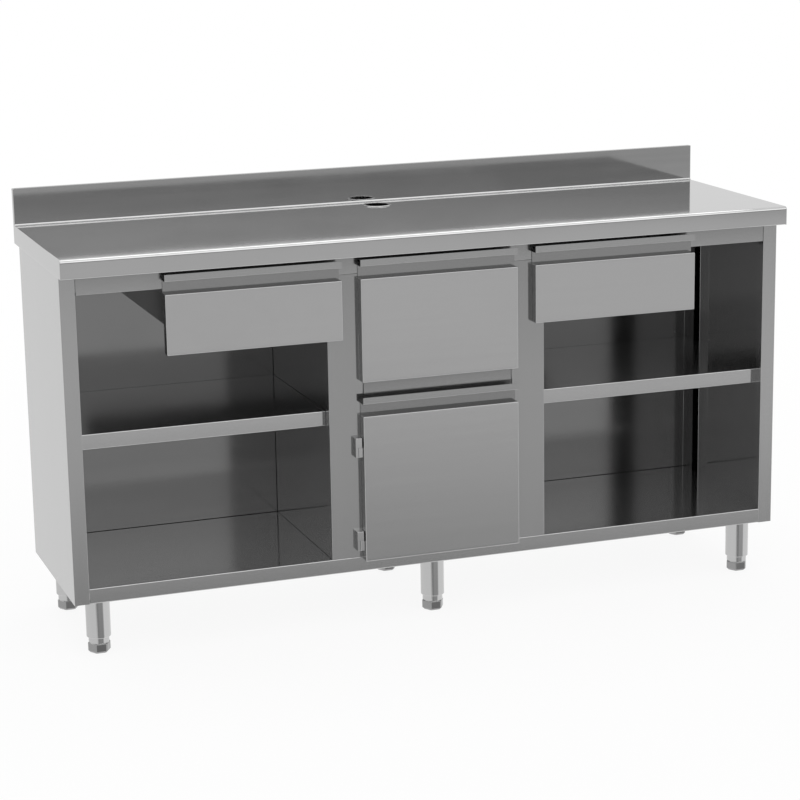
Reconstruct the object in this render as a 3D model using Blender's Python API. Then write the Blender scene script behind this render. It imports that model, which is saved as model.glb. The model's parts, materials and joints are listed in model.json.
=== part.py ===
"""Coffee machine counter: a stainless steel back-bar with open bays, three drawers and a cupboard.

Units are metres and +Z is up. The origin lies on the floor under the middle of the worktop, +X runs
along the counter to the right, and the front faces -Y. Sheet pieces are bent outlines drawn across
their folds and extruded along them, and boxes are cut out with Booleans.
"""

import math

import bmesh
import bpy
from mathutils import Vector

# Worktop
LENGTH = 2.000
DEPTH = 0.600
WORK_HEIGHT = 1.050
UPSTAND_HEIGHT = 0.100
UPSTAND_THICKNESS = 0.015
TOP_SHEET = 0.0015
EDGE_HEIGHT = 0.046
EDGE_RADIUS = 0.009
EDGE_RETURN = 0.018
COVE_RADIUS = 0.008

# Stiffener under the worktop
STIFFENER_CROWN = 0.060
STIFFENER_FLANGE = 0.020
STIFFENER_DEPTH = 0.030

# Cable hole near the upstand
CABLE_HOLE = 0.070
CABLE_HOLE_TO_UPSTAND = 0.0695
GROMMET_FLANGE = 0.080
GROMMET_BORE = 0.064
GROMMET_RIM = 0.002
GROMMET_SLEEVE = 0.012

# Body
SIDE_OVERHANG = 0.005
FRONT_OVERHANG = 0.0475
REAR_OVERHANG = 0.0375
SHEET = 0.0012
POST_WIDTH = 0.040
POST_RETURN = 0.030
REAR_FLANGE = 0.025
REAR_RETURN = 0.090
BACK_SETBACK = 0.0105
TOP_RAIL_SHOWN = 0.053
BASE_HEIGHT = 0.040
CENTRE_WIDTH = 0.606
CENTRE_POST = 0.094
SHELF_RISE = 0.398
SHELF_FLANGE = 0.040
SHELF_RETURN = 0.012
BRACKET_LEG = 0.025

# Legs and feet
LEG_HEIGHT = 0.150
LEG_SIDE_INSET = 0.072
LEG_DEPTH_INSET = 0.0655
LEG_DIAMETER = 0.0635
LEG_FLANGE = 0.084
LEG_FLANGE_THICKNESS = 0.003
LEG_CROWN = 0.020
FOOT_CORNERS = 0.063
FOOT_HEIGHT = 0.025
FOOT_CHAMFER = 0.005
NECK_DIAMETER = 0.054
NECK_SHOWN = 0.017
NECK_IN_LEG = 0.048

# Drawer and door fronts
FRONT_PROUD = 0.0275
FRONT_CLEARANCE = 0.001
FRONT_REAR_RETURN = 0.022
LIP_GAP = 0.0135
LIP_HEIGHT = 0.018
RECESS_HEIGHT = 0.0325
SIDE_FRONT_WIDTH = 0.4655
SIDE_FRONT_LAP = 0.0345
SIDE_FRONT_HEIGHT = 0.156
CENTRE_FRONT_LAP = 0.009
CENTRE_FRONT_HEIGHT = 0.273
MID_GAP = 0.0405
MID_RAIL_LAP = 0.010
DOOR_LAP = 0.007
LINER_DEPTH = 0.015

# Drawer boxes and runners
BOX_CLEARANCE = 0.007
SIDE_BOX_HEIGHT = 0.080
BOX_REAR_SPACE = 0.052
CARRIER_INSET = 0.002
CARRIER_CLEARANCE = 0.004
CARRIER_FOOT = 0.015
CARRIER_FLANGE = 0.025
RUNNER_SPACE = 0.0127
RUNNER_HEIGHT = 0.036
RUNNER_DEPTH = 0.010
KNOCK_BAR_DIAMETER = 0.030
KNOCK_BAR_FROM_FRONT = 0.110
KNOCK_BAR_DROP = 0.040

# Hinges and catch
HINGE_BLOCK = 0.020
HINGE_HEIGHT = 0.052
HINGE_BARREL_RADIUS = 0.0064
HINGE_PIN_RADIUS = 0.0025
HINGE_PAD = 0.002
HINGE_CAP = 0.004
UPPER_HINGE_DROP = 0.084
LOWER_HINGE_RISE = 0.055
CATCH_WIDTH = 0.014
CATCH_HEIGHT = 0.040

# Clearances, and how far a cutter reaches past the wall that it cuts
FIT = 0.0003
RUNNING = 0.0004
REACH = 0.010

# Facets of round pieces
ROUND_STEPS = 32
BEND_STEPS = 6

# Colour, roughness and metallic value of each finish
SATIN_STEEL = ((0.58, 0.58, 0.58, 1.0), 0.28, 1.0)
BRIGHT_STEEL = ((0.66, 0.66, 0.66, 1.0), 0.18, 1.0)
ZINC_STEEL = ((0.50, 0.51, 0.53, 1.0), 0.40, 1.0)
BLACK_RUBBER = ((0.03, 0.03, 0.03, 1.0), 0.70, 0.0)
GREY_PLASTIC = ((0.20, 0.20, 0.20, 1.0), 0.55, 0.0)

# Planes of the worktop and the body
HALF_LENGTH = LENGTH / 2
FRONT = -DEPTH / 2
REAR = DEPTH / 2
UPSTAND_TOP = WORK_HEIGHT + UPSTAND_HEIGHT
UPSTAND_FACE = REAR - UPSTAND_THICKNESS
EDGE_BOTTOM = WORK_HEIGHT - EDGE_HEIGHT
BODY_FRONT = FRONT + FRONT_OVERHANG
BODY_REAR = REAR - REAR_OVERHANG
BODY_HALF = HALF_LENGTH - SIDE_OVERHANG
BODY_TOP = WORK_HEIGHT - TOP_SHEET - FIT
WALL_INNER = BODY_HALF - SHEET
POST_FACE = BODY_HALF - POST_WIDTH
RETURN_REAR = BODY_FRONT + POST_RETURN
REAR_POST_FRONT = BODY_REAR - REAR_RETURN
BACK_FACE = BODY_REAR - BACK_SETBACK
INNER_REAR = BACK_FACE - FIT
RAIL_BOTTOM = EDGE_BOTTOM - TOP_RAIL_SHOWN
BASE_TOP = LEG_HEIGHT + BASE_HEIGHT
MODULE_HALF = CENTRE_WIDTH / 2
POST_INNER = MODULE_HALF - CENTRE_POST
SHELF_TOP = BASE_TOP + SHELF_RISE
SHELF_FRONT = RETURN_REAR + FIT
HOLE_Y = UPSTAND_FACE - CABLE_HOLE_TO_UPSTAND
STIFFENER_Y = (BODY_FRONT + BODY_REAR) / 2
STIFFENER_HALF = STIFFENER_CROWN / 2 + STIFFENER_FLANGE
TUBE_BOTTOM = FOOT_HEIGHT + NECK_SHOWN

# Planes of the fronts and what hangs behind them
FRONT_FACE = BODY_FRONT - FRONT_PROUD
FRONT_BACK = BODY_FRONT - FRONT_CLEARANCE
HANDLE_HEIGHT = RECESS_HEIGHT + LIP_HEIGHT
DRAWER_MAIN_TOP = EDGE_BOTTOM - LIP_GAP - HANDLE_HEIGHT
SIDE_MAIN_BOTTOM = DRAWER_MAIN_TOP - SIDE_FRONT_HEIGHT
CENTRE_MAIN_BOTTOM = DRAWER_MAIN_TOP - CENTRE_FRONT_HEIGHT
MID_RAIL_TOP = CENTRE_MAIN_BOTTOM + MID_RAIL_LAP
DOOR_TOP = CENTRE_MAIN_BOTTOM - MID_GAP
MID_RAIL_BOTTOM = DOOR_TOP - MID_RAIL_LAP
DOOR_MAIN_TOP = DOOR_TOP - HANDLE_HEIGHT
DOOR_BOTTOM = BASE_TOP - DOOR_LAP
SIDE_FRONT_INNER = MODULE_HALF - SIDE_FRONT_LAP
SIDE_FRONT_OUTER = SIDE_FRONT_INNER + SIDE_FRONT_WIDTH
CENTRE_FRONT_HALF = POST_INNER + CENTRE_FRONT_LAP
BOX_TOP = RAIL_BOTTOM - BOX_CLEARANCE
SIDE_BOX_BOTTOM = BOX_TOP - SIDE_BOX_HEIGHT
CENTRE_BOX_BOTTOM = MID_RAIL_TOP + BOX_CLEARANCE
BOX_FRONT = FRONT_BACK + FIT
BOX_REAR = INNER_REAR - BOX_REAR_SPACE
CARRIER_OUTER = SIDE_FRONT_OUTER - CARRIER_INSET
CARRIER_INNER = CARRIER_OUTER - SHEET
CARRIER_BOTTOM = SIDE_BOX_BOTTOM - CARRIER_CLEARANCE

# Hinge axis at the left edge of the door
DOOR_LEFT = -CENTRE_FRONT_HALF
HINGE_X = DOOR_LEFT - HINGE_BARREL_RADIUS - RUNNING
HINGE_REAR = BODY_FRONT - FIT
HINGE_FRONT = HINGE_REAR - HINGE_BLOCK
HINGE_Y = HINGE_FRONT + HINGE_BARREL_RADIUS


# Shape helpers


def spot(axis, along, a, b):
    """The point at `along` on an axis, with the two other coordinates in X, Y, Z order."""
    if axis == "X":
        return Vector((along, a, b))
    if axis == "Y":
        return Vector((a, along, b))
    return Vector((a, b, along))


def arc(centre, radius, start, end, steps=BEND_STEPS):
    """Points on an arc between two angles in degrees, both ends included."""
    angles = [math.radians(start + (end - start) * i / steps) for i in range(steps + 1)]
    return [(centre[0] + radius * math.cos(t), centre[1] + radius * math.sin(t)) for t in angles]


def circle(centre, radius):
    """Points all round a circle."""
    return arc(centre, radius, 0, 360, ROUND_STEPS)[:-1]


def fold(path, thickness=SHEET):
    """The outline of a bent sheet whose outer face is the path and whose metal lies to the path's right."""
    points = [Vector(point) for point in path]
    runs = [(after - before).normalized() for before, after in zip(points, points[1:])]
    sides = [Vector((run.y, -run.x)) for run in runs]
    inner = []
    for i, point in enumerate(points):
        first = sides[max(i - 1, 0)]
        last = sides[min(i, len(sides) - 1)]
        inner.append(point + (first + last) * thickness / (1 + first.dot(last)))
    return [tuple(point) for point in points + inner[::-1]]


def mirrored(outline, side):
    """The outline with its first coordinate turned to the right (1) or the left (-1) of the counter."""
    return [(side * a, b) for a, b in outline]


def prism(outline, axis, start, end):
    """An outline extruded along an axis from one place to another."""
    shape = bmesh.new()
    corners = [shape.verts.new(spot(axis, start, a, b)) for a, b in outline]
    swept = bmesh.ops.extrude_face_region(shape, geom=[shape.faces.new(corners)])
    moved = [item for item in swept["geom"] if isinstance(item, bmesh.types.BMVert)]
    bmesh.ops.translate(shape, verts=moved, vec=spot(axis, end - start, 0.0, 0.0))
    return shape


def block(x, y, z):
    """A box from three pairs of limits, given in either order."""
    low_x, high_x = sorted(x)
    low_y, high_y = sorted(y)
    outline = [(low_x, low_y), (high_x, low_y), (high_x, high_y), (low_x, high_y)]
    return prism(outline, "Z", *sorted(z))


def turned(profile, centre, steps=ROUND_STEPS, ring=False):
    """A profile of (radius, height) points turned about a vertical axis; a ring's profile is closed."""
    shape = bmesh.new()
    verts = [shape.verts.new((centre[0] + radius, centre[1], z)) for radius, z in profile]
    pairs = list(zip(verts, verts[1:]))
    if ring:
        pairs.append((verts[-1], verts[0]))
    edges = [shape.edges.new(pair) for pair in pairs]
    bmesh.ops.spin(
        shape,
        geom=verts + edges,
        cent=(centre[0], centre[1], 0.0),
        axis=(0.0, 0.0, 1.0),
        angle=math.tau,
        steps=steps,
        use_merge=True,
    )
    bmesh.ops.remove_doubles(shape, verts=shape.verts, dist=1e-6)
    return shape


# Object helpers


def material_for(name, finish):
    """The object's own material with a finish's colour, roughness and metallic value."""
    colour, roughness, metallic = finish
    material = bpy.data.materials.new(name)
    material.use_nodes = True
    shader = material.node_tree.nodes["Principled BSDF"]
    shader.inputs["Base Color"].default_value = colour
    shader.inputs["Roughness"].default_value = roughness
    shader.inputs["Metallic"].default_value = metallic
    return material


def link(name, shape, origin):
    """Makes an object of a shape drawn in world coordinates, with the mesh kept relative to an origin."""
    bmesh.ops.translate(shape, verts=shape.verts, vec=-Vector(origin))
    bmesh.ops.recalc_face_normals(shape, faces=shape.faces)
    mesh = bpy.data.meshes.new(name)
    shape.to_mesh(mesh)
    shape.free()
    obj = bpy.data.objects.new(name, mesh)
    bpy.context.scene.collection.objects.link(obj)
    return obj


def add(name, shape, finish=SATIN_STEEL, origin=None, parent=None, smooth=False):
    """Adds a named piece. Its origin is its parent's place unless another is given."""
    anchor = parent.location.copy() if parent else Vector()
    place = anchor if origin is None else Vector(origin)
    obj = link(name, shape, place)
    obj.parent = parent
    obj.location = place - anchor
    obj.data.materials.append(material_for(name, finish))
    if smooth:
        obj.data.shade_smooth()
        obj.data.set_sharp_from_angle(angle=math.radians(35))
    return obj


def place_of(obj):
    """Where a piece's origin lies in the world."""
    return obj.location + (obj.parent.location if obj.parent else Vector())


def shape_with(obj, shape, operation):
    """Cuts a shape drawn in world coordinates out of a piece, or joins it on."""
    tool = link(f"{obj.name}_tool_{len(obj.modifiers) + 1}", shape, place_of(obj))
    tool.parent = obj
    tool.hide_render = True
    tool.display_type = "WIRE"
    modifier = obj.modifiers.new(operation.lower(), "BOOLEAN")
    modifier.operation = operation
    modifier.solver = "EXACT"
    modifier.object = tool


def cut(obj, shape):
    """Cuts a shape out of a piece."""
    shape_with(obj, shape, "DIFFERENCE")


def pivot(name, place):
    """An empty on a joint's axis that carries the pieces which move with it."""
    empty = bpy.data.objects.new(name, None)
    empty.location = place
    empty.empty_display_size = 0.05
    bpy.context.scene.collection.objects.link(empty)
    return empty


# Worktop


def worktop():
    """Pressed top with a rounded front edge, a coved upstand, closed ends and a cable hole."""
    edge = (FRONT + EDGE_RADIUS, WORK_HEIGHT - EDGE_RADIUS)
    cove = (UPSTAND_FACE - COVE_RADIUS, WORK_HEIGHT + COVE_RADIUS)
    outside = [(FRONT, EDGE_BOTTOM)]
    outside += arc(edge, EDGE_RADIUS, 180, 90)
    outside += arc(cove, COVE_RADIUS, -90, 0)
    outside += [(UPSTAND_FACE, UPSTAND_TOP), (REAR, UPSTAND_TOP), (REAR, EDGE_BOTTOM)]
    mouth = FRONT + EDGE_RETURN
    ledge = EDGE_BOTTOM + TOP_SHEET
    inside = [(mouth, EDGE_BOTTOM - REACH), (mouth, ledge), (FRONT + TOP_SHEET, ledge)]
    inside += arc(edge, EDGE_RADIUS - TOP_SHEET, 180, 90)
    inside += arc(cove, COVE_RADIUS + TOP_SHEET, -90, 0)
    ceiling = UPSTAND_TOP - TOP_SHEET
    inside += [(UPSTAND_FACE + TOP_SHEET, ceiling), (REAR - TOP_SHEET, ceiling)]
    inside += [(REAR - TOP_SHEET, EDGE_BOTTOM - REACH)]
    top = add("worktop", prism(outside, "X", -HALF_LENGTH, HALF_LENGTH))
    cut(top, prism(inside, "X", -HALF_LENGTH + TOP_SHEET, HALF_LENGTH - TOP_SHEET))
    hole = circle((0.0, HOLE_Y), CABLE_HOLE / 2)
    cut(top, prism(hole, "Z", WORK_HEIGHT - REACH, WORK_HEIGHT + REACH))


def worktop_stiffener():
    """Hat section glued along the underside of the worktop, between the side panels."""
    half = STIFFENER_CROWN / 2
    low = BODY_TOP - STIFFENER_DEPTH + SHEET
    path = [(half + STIFFENER_FLANGE, BODY_TOP), (half, BODY_TOP), (half, low)]
    path = [(STIFFENER_Y - y, z) for y, z in path] + [(STIFFENER_Y + y, z) for y, z in path[::-1]]
    end = WALL_INNER - FIT
    add("worktop_stiffener", prism(fold(path), "X", -end, end), ZINC_STEEL)


def stiffener_notch(x):
    """The cut-out that lets the stiffener pass a sheet standing between two X limits."""
    y = (STIFFENER_Y - STIFFENER_HALF - FIT, STIFFENER_Y + STIFFENER_HALF + FIT)
    return block(x, y, (BODY_TOP - STIFFENER_DEPTH - FIT, BODY_TOP + REACH))


def cable_grommet():
    """Rimmed sleeve that lines the cable hole."""
    sleeve = CABLE_HOLE / 2 - FIT
    seat = WORK_HEIGHT + FIT
    low = WORK_HEIGHT - GROMMET_SLEEVE
    profile = [(GROMMET_BORE / 2, low), (sleeve, low), (sleeve, seat), (GROMMET_FLANGE / 2, seat)]
    profile += [(GROMMET_FLANGE / 2, seat + GROMMET_RIM), (GROMMET_BORE / 2, seat + GROMMET_RIM)]
    shape = turned(profile, (0.0, HOLE_Y), ring=True)
    add("cable_grommet", shape, BRIGHT_STEEL, origin=(0.0, HOLE_Y, WORK_HEIGHT), smooth=True)


# Body


def upright(name, side, outer, post, rear_fold, bottom):
    """Vertical sheet with a folded rear edge, a post face along the front and a return behind the face."""
    path = rear_fold + [(outer, rear_fold[-1][1]), (outer, BODY_FRONT)]
    path += [(outer - post, BODY_FRONT), (outer - post, RETURN_REAR)]
    return add(name, prism(mirrored(fold(path), side), "Z", bottom, BODY_TOP))


def side_panel(name, side):
    """End panel of the body, down to the underside of the base, with a rear post that stands on the base."""
    rear_post = [(POST_FACE, REAR_POST_FRONT), (POST_FACE, BODY_REAR)]
    panel = upright(name, side, BODY_HALF, POST_WIDTH, rear_post, LEG_HEIGHT)
    x = (side * (POST_FACE - REACH), side * (POST_FACE + 2 * SHEET))
    y = (REAR_POST_FRONT - REACH, BODY_REAR - SHEET)
    cut(panel, block(x, y, (LEG_HEIGHT - REACH, BASE_TOP + FIT)))


def divider(name, side):
    """Side of the centre module, standing on the base and notched for the top rail and the stiffener."""
    rear_flange = [(MODULE_HALF - REAR_FLANGE, INNER_REAR)]
    panel = upright(name, side, MODULE_HALF, CENTRE_POST, rear_flange, BASE_TOP + FIT)
    across = (side * (POST_INNER - REACH), side * (MODULE_HALF + REACH))
    rail_zone = (RAIL_BOTTOM - FIT, BODY_TOP + REACH)
    cut(panel, block(across, (BODY_FRONT - REACH, RETURN_REAR + FIT), rail_zone))
    cut(panel, stiffener_notch(across))


def back_panel():
    """Back sheet between the rear posts, with its ends turned back along them."""
    end = POST_FACE - FIT
    path = [(end, BODY_REAR), (end, BACK_FACE), (-end, BACK_FACE), (-end, BODY_REAR)]
    add("back_panel", prism(fold(path), "Z", LEG_HEIGHT, BODY_TOP))


def base_shelf():
    """Bottom of the body with its front apron, notched at both ends for the side posts."""
    end = WALL_INNER - FIT
    path = [(RETURN_REAR, LEG_HEIGHT), (BODY_FRONT, LEG_HEIGHT), (BODY_FRONT, BASE_TOP)]
    path += [(INNER_REAR, BASE_TOP), (INNER_REAR, LEG_HEIGHT)]
    base = add("base_shelf", prism(fold(path), "X", -end, end))
    for side in (-1, 1):
        x = (side * (POST_FACE - FIT), side * (BODY_HALF + REACH))
        y = (BODY_FRONT - REACH, RETURN_REAR + FIT)
        cut(base, block(x, y, (LEG_HEIGHT - REACH, BASE_TOP + REACH)))


def rail(name, half, bottom, top):
    """Channel across the front of the body, open to the back."""
    path = [(RETURN_REAR, bottom), (BODY_FRONT, bottom), (BODY_FRONT, top), (RETURN_REAR, top)]
    add(name, prism(fold(path), "X", -half + FIT, half - FIT))


def bay_shelf(bay, side):
    """Middle shelf of one open bay, notched for the rear post, and the two angles that carry its ends."""
    outer = WALL_INNER - FIT
    inner = MODULE_HALF + FIT
    lip = SHELF_TOP - SHELF_FLANGE
    path = [(SHELF_FRONT + SHELF_RETURN, lip), (SHELF_FRONT, lip), (SHELF_FRONT, SHELF_TOP)]
    path += [(INNER_REAR, SHELF_TOP), (INNER_REAR, lip)]
    shelf = add(f"{bay}_shelf", prism(fold(path), "X", *sorted((side * inner, side * outer))))
    notch_x = (side * (POST_FACE - FIT), side * (BODY_HALF + REACH))
    notch_y = (REAR_POST_FRONT - FIT, INNER_REAR + REACH)
    cut(shelf, block(notch_x, notch_y, (lip - REACH, SHELF_TOP + REACH)))
    seat = SHELF_TOP - SHEET - FIT
    front = SHELF_FRONT + SHEET + FIT
    ends = (("outer", outer, -1, REAR_POST_FRONT - FIT), ("inner", inner, 1, INNER_REAR - SHEET - FIT))
    for place, wall, inward, rear in ends:
        angle = [(0.0, seat - BRACKET_LEG), (0.0, seat), (BRACKET_LEG, seat)]
        outline = [(wall + inward * a, b) for a, b in fold(angle)]
        add(f"{bay}_shelf_{place}_bracket", prism(mirrored(outline, side), "Y", front, rear), ZINC_STEEL)


# Legs and feet


def leg_and_foot(name, x, y):
    """Round leg with a fixing flange, and the six-sided foot whose neck screws up into it."""
    flange_top = BASE_TOP - SHEET - FIT
    bore = NECK_DIAMETER / 2 + FIT
    bore_top = flange_top - LEG_CROWN
    tube = LEG_DIAMETER / 2
    flange = LEG_FLANGE / 2
    profile = [(0.0, bore_top), (bore, bore_top), (bore, TUBE_BOTTOM), (tube, TUBE_BOTTOM)]
    profile += [(tube, flange_top - LEG_FLANGE_THICKNESS), (flange, flange_top - LEG_FLANGE_THICKNESS)]
    profile += [(flange, flange_top), (0.0, flange_top)]
    add(f"leg_{name}", turned(profile, (x, y)), BRIGHT_STEEL, origin=(x, y, TUBE_BOTTOM), smooth=True)

    corner = FOOT_CORNERS / 2
    hexagon = [(0.0, 0.0), (corner - FOOT_CHAMFER, 0.0), (corner, FOOT_CHAMFER)]
    hexagon += [(corner, FOOT_HEIGHT), (0.0, FOOT_HEIGHT)]
    foot = add(f"foot_{name}", turned(hexagon, (x, y), steps=6), BRIGHT_STEEL, origin=(x, y, 0.0))
    neck_low = FOOT_HEIGHT - FOOT_CHAMFER
    neck_high = TUBE_BOTTOM + NECK_IN_LEG
    neck = prism(circle((x, y), NECK_DIAMETER / 2), "Z", neck_low, neck_high)
    shape_with(foot, neck, "UNION")


def legs():
    """Three legs along the front and three along the rear."""
    reach = BODY_HALF - LEG_SIDE_INSET
    rows = {"front": BODY_FRONT + LEG_DEPTH_INSET, "rear": BODY_REAR - LEG_DEPTH_INSET}
    columns = {"left": -reach, "centre": 0.0, "right": reach}
    for row, y in rows.items():
        for column, x in columns.items():
            leg_and_foot(f"{row}_{column}", x, y)


# Fronts, drawers and door


def front_shell(name, x, bottom, main_top, parent, rear_return):
    """Folded front: a proud main panel, a finger recess above it and a lip that stands up along the top."""
    low, high = x
    lip = main_top + RECESS_HEIGHT
    top = lip + LIP_HEIGHT
    web = FRONT_BACK - SHEET
    outline = [(FRONT_BACK, bottom), (FRONT_FACE, bottom), (FRONT_FACE, main_top), (web, main_top)]
    outline += [(web, lip), (FRONT_FACE, lip), (FRONT_FACE, top), (FRONT_BACK, top)]
    front = add(name, prism(outline, "X", low, high), parent=parent)
    behind_face = FRONT_FACE + SHEET
    behind = FRONT_BACK + REACH
    hollow_back = web if rear_return else behind
    hollow_x = (low + SHEET, high - SHEET)
    cut(front, block(hollow_x, (behind_face, hollow_back), (bottom + SHEET, main_top - SHEET)))
    if rear_return:
        window_x = (low + rear_return, high - rear_return)
        cut(front, block(window_x, (web - SHEET, behind), (bottom + rear_return, main_top - rear_return)))
    cut(front, block((low - REACH, high + REACH), (behind_face, behind), (lip + SHEET, top + REACH)))


def runner_pair(name, side_name, wall, inward, z, parent):
    """Fixed runner on a wall and the moving runner that nests in it, both channels along the drawer."""
    far = RUNNER_SPACE - FIT
    half = RUNNER_HEIGHT / 2
    nested = half - SHEET - RUNNING
    near = FIT + SHEET + RUNNING
    outer = [(RUNNER_DEPTH, z - half), (FIT, z - half), (FIT, z + half), (RUNNER_DEPTH, z + half)]
    moving = [(near, z + nested), (far, z + nested), (far, z - nested), (near, z - nested)]
    outlines = [[(wall + inward * a, b) for a, b in fold(path)] for path in (outer, moving)]
    fixed_shape = prism(outlines[0], "Y", BODY_FRONT + FIT, INNER_REAR)
    add(f"{name}_fixed_runner_{side_name}", fixed_shape, ZINC_STEEL)
    moving_shape = prism(outlines[1], "Y", BOX_FRONT, BOX_REAR)
    add(f"{name}_moving_runner_{side_name}", moving_shape, ZINC_STEEL, parent=parent)


def drawer(name, front_x, walls, box_bottom, main_bottom):
    """Drawer box between two walls, its front and its two pairs of runners."""
    left, right = walls
    runner_z = (box_bottom + BOX_TOP) / 2
    slide = pivot(f"{name}_slide", ((left + right) / 2, BOX_FRONT, runner_z))
    front_shell(f"{name}_front", front_x, main_bottom, DRAWER_MAIN_TOP, slide, FRONT_REAR_RETURN)
    low = left + RUNNER_SPACE
    high = right - RUNNER_SPACE
    box = add(f"{name}_box", block((low, high), (BOX_FRONT, BOX_REAR), (box_bottom, BOX_TOP)), parent=slide)
    inside_x = (low + SHEET, high - SHEET)
    inside_y = (BOX_FRONT + SHEET, BOX_REAR - SHEET)
    cut(box, block(inside_x, inside_y, (box_bottom + SHEET, BOX_TOP + REACH)))
    runner_pair(name, "left", left, 1, runner_z, slide)
    runner_pair(name, "right", right, -1, runner_z, slide)
    return slide, inside_x


def carrier(name, side):
    """Hanging plate that carries the outer runner of a side drawer, notched for the rail and stiffener."""
    path = [(-CARRIER_OUTER + CARRIER_FOOT, CARRIER_BOTTOM), (-CARRIER_OUTER, CARRIER_BOTTOM)]
    path += [(-CARRIER_OUTER, BODY_TOP), (-CARRIER_OUTER + CARRIER_FLANGE, BODY_TOP)]
    shape = prism(mirrored(fold(path), -side), "Y", BODY_FRONT + FIT, INNER_REAR)
    plate = add(name, shape)
    across = (side * (CARRIER_OUTER + REACH), side * (CARRIER_OUTER - CARRIER_FLANGE - REACH))
    rail_zone = (RAIL_BOTTOM - FIT, BODY_TOP + REACH)
    cut(plate, block(across, (BODY_FRONT - REACH, RETURN_REAR + FIT), rail_zone))
    cut(plate, stiffener_notch(across))


def side_drawer(name, side):
    """Shallow drawer hung beside the centre module."""
    carrier(f"{name}_carrier", side)
    front_x = sorted((side * SIDE_FRONT_INNER, side * SIDE_FRONT_OUTER))
    walls = sorted((side * MODULE_HALF, side * CARRIER_INNER))
    drawer(name, front_x, walls, SIDE_BOX_BOTTOM, SIDE_MAIN_BOTTOM)


def centre_drawer():
    """Deep grounds drawer between the centre posts, with a knock bar across it."""
    front_x = (-CENTRE_FRONT_HALF, CENTRE_FRONT_HALF)
    walls = (-POST_INNER, POST_INNER)
    slide, inside = drawer("centre_drawer", front_x, walls, CENTRE_BOX_BOTTOM, CENTRE_MAIN_BOTTOM)
    middle = (BOX_FRONT + KNOCK_BAR_FROM_FRONT, BOX_TOP - KNOCK_BAR_DROP)
    bar = prism(circle(middle, KNOCK_BAR_DIAMETER / 2), "X", inside[0] + FIT, inside[1] - FIT)
    add("knock_bar", bar, BLACK_RUBBER, parent=slide, smooth=True)


def door():
    """Hollow cupboard door: a folded skin and a liner that closes its back."""
    swing = pivot("door_pivot", (HINGE_X, HINGE_Y, (DOOR_BOTTOM + DOOR_TOP) / 2))
    low, high = -CENTRE_FRONT_HALF, CENTRE_FRONT_HALF
    front_shell("door_skin", (low, high), DOOR_BOTTOM, DOOR_MAIN_TOP, swing, None)
    gap = SHEET + FIT
    liner_x = (low + gap, high - gap)
    liner_z = (DOOR_BOTTOM + gap, DOOR_MAIN_TOP - gap)
    rim = FRONT_BACK - LINER_DEPTH
    liner = add("door_liner", block(liner_x, (rim, FRONT_BACK), liner_z), parent=swing)
    hollow_x = (liner_x[0] + SHEET, liner_x[1] - SHEET)
    hollow_z = (liner_z[0] + SHEET, liner_z[1] - SHEET)
    cut(liner, block(hollow_x, (rim - REACH, FRONT_BACK - SHEET), hollow_z))
    hinge("upper_hinge", DOOR_MAIN_TOP - UPPER_HINGE_DROP, swing)
    hinge("lower_hinge", DOOR_BOTTOM + LOWER_HINGE_RISE, swing)


def hinge(name, middle, swing):
    """Block hinge: a frame leaf with a pin in its upper half, and a door leaf that turns below it."""
    axis = (HINGE_X, HINGE_Y)
    right = HINGE_X + HINGE_BARREL_RADIUS
    left = right - HINGE_BLOCK
    low = middle - HINGE_HEIGHT / 2
    high = middle + HINGE_HEIGHT / 2
    bore = circle(axis, HINGE_PIN_RADIUS + FIT)
    on_axis = (HINGE_X, HINGE_Y, middle)

    outline = [(left, HINGE_REAR), (left, HINGE_FRONT)]
    outline += arc(axis, HINGE_BARREL_RADIUS, -90, 0) + [(right, HINGE_REAR)]
    frame_leaf = add(f"{name}_frame_leaf", prism(outline, "Z", low, high), BRIGHT_STEEL)
    cut(frame_leaf, prism(circle(axis, HINGE_BARREL_RADIUS + RUNNING), "Z", low - REACH, middle))
    notch_y = (HINGE_FRONT - REACH, HINGE_REAR + REACH)
    cut(frame_leaf, block((HINGE_X, right + REACH), notch_y, (low - REACH, middle)))
    cut(frame_leaf, prism(bore, "Z", middle - REACH, high - HINGE_CAP))

    pad_right = DOOR_LEFT - FIT
    pad_left = pad_right - HINGE_PAD
    meet = math.degrees(math.acos((pad_left - HINGE_X) / HINGE_BARREL_RADIUS))
    outline = arc(axis, HINGE_BARREL_RADIUS, 0, meet - 360, ROUND_STEPS)
    outline += [(pad_left, FRONT_BACK), (pad_right, FRONT_BACK), (pad_right, HINGE_Y)]
    barrel = prism(outline, "Z", low, middle - RUNNING)
    door_leaf = add(f"{name}_door_leaf", barrel, BRIGHT_STEEL, origin=on_axis, parent=swing)
    cut(door_leaf, prism(bore, "Z", low - REACH, middle + REACH))

    pin = prism(circle(axis, HINGE_PIN_RADIUS), "Z", low + FIT, high - HINGE_CAP - FIT)
    add(f"{name}_pin", pin, ZINC_STEEL, origin=on_axis, smooth=True)


def door_catch():
    """Magnet on the return of the right centre post, just behind the closed door."""
    x = (POST_INNER - FIT - CATCH_WIDTH, POST_INNER - FIT)
    middle = (DOOR_BOTTOM + DOOR_MAIN_TOP) / 2
    z = (middle - CATCH_HEIGHT / 2, middle + CATCH_HEIGHT / 2)
    add("door_catch", block(x, (FRONT_BACK + FIT, RETURN_REAR), z), GREY_PLASTIC)


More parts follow.
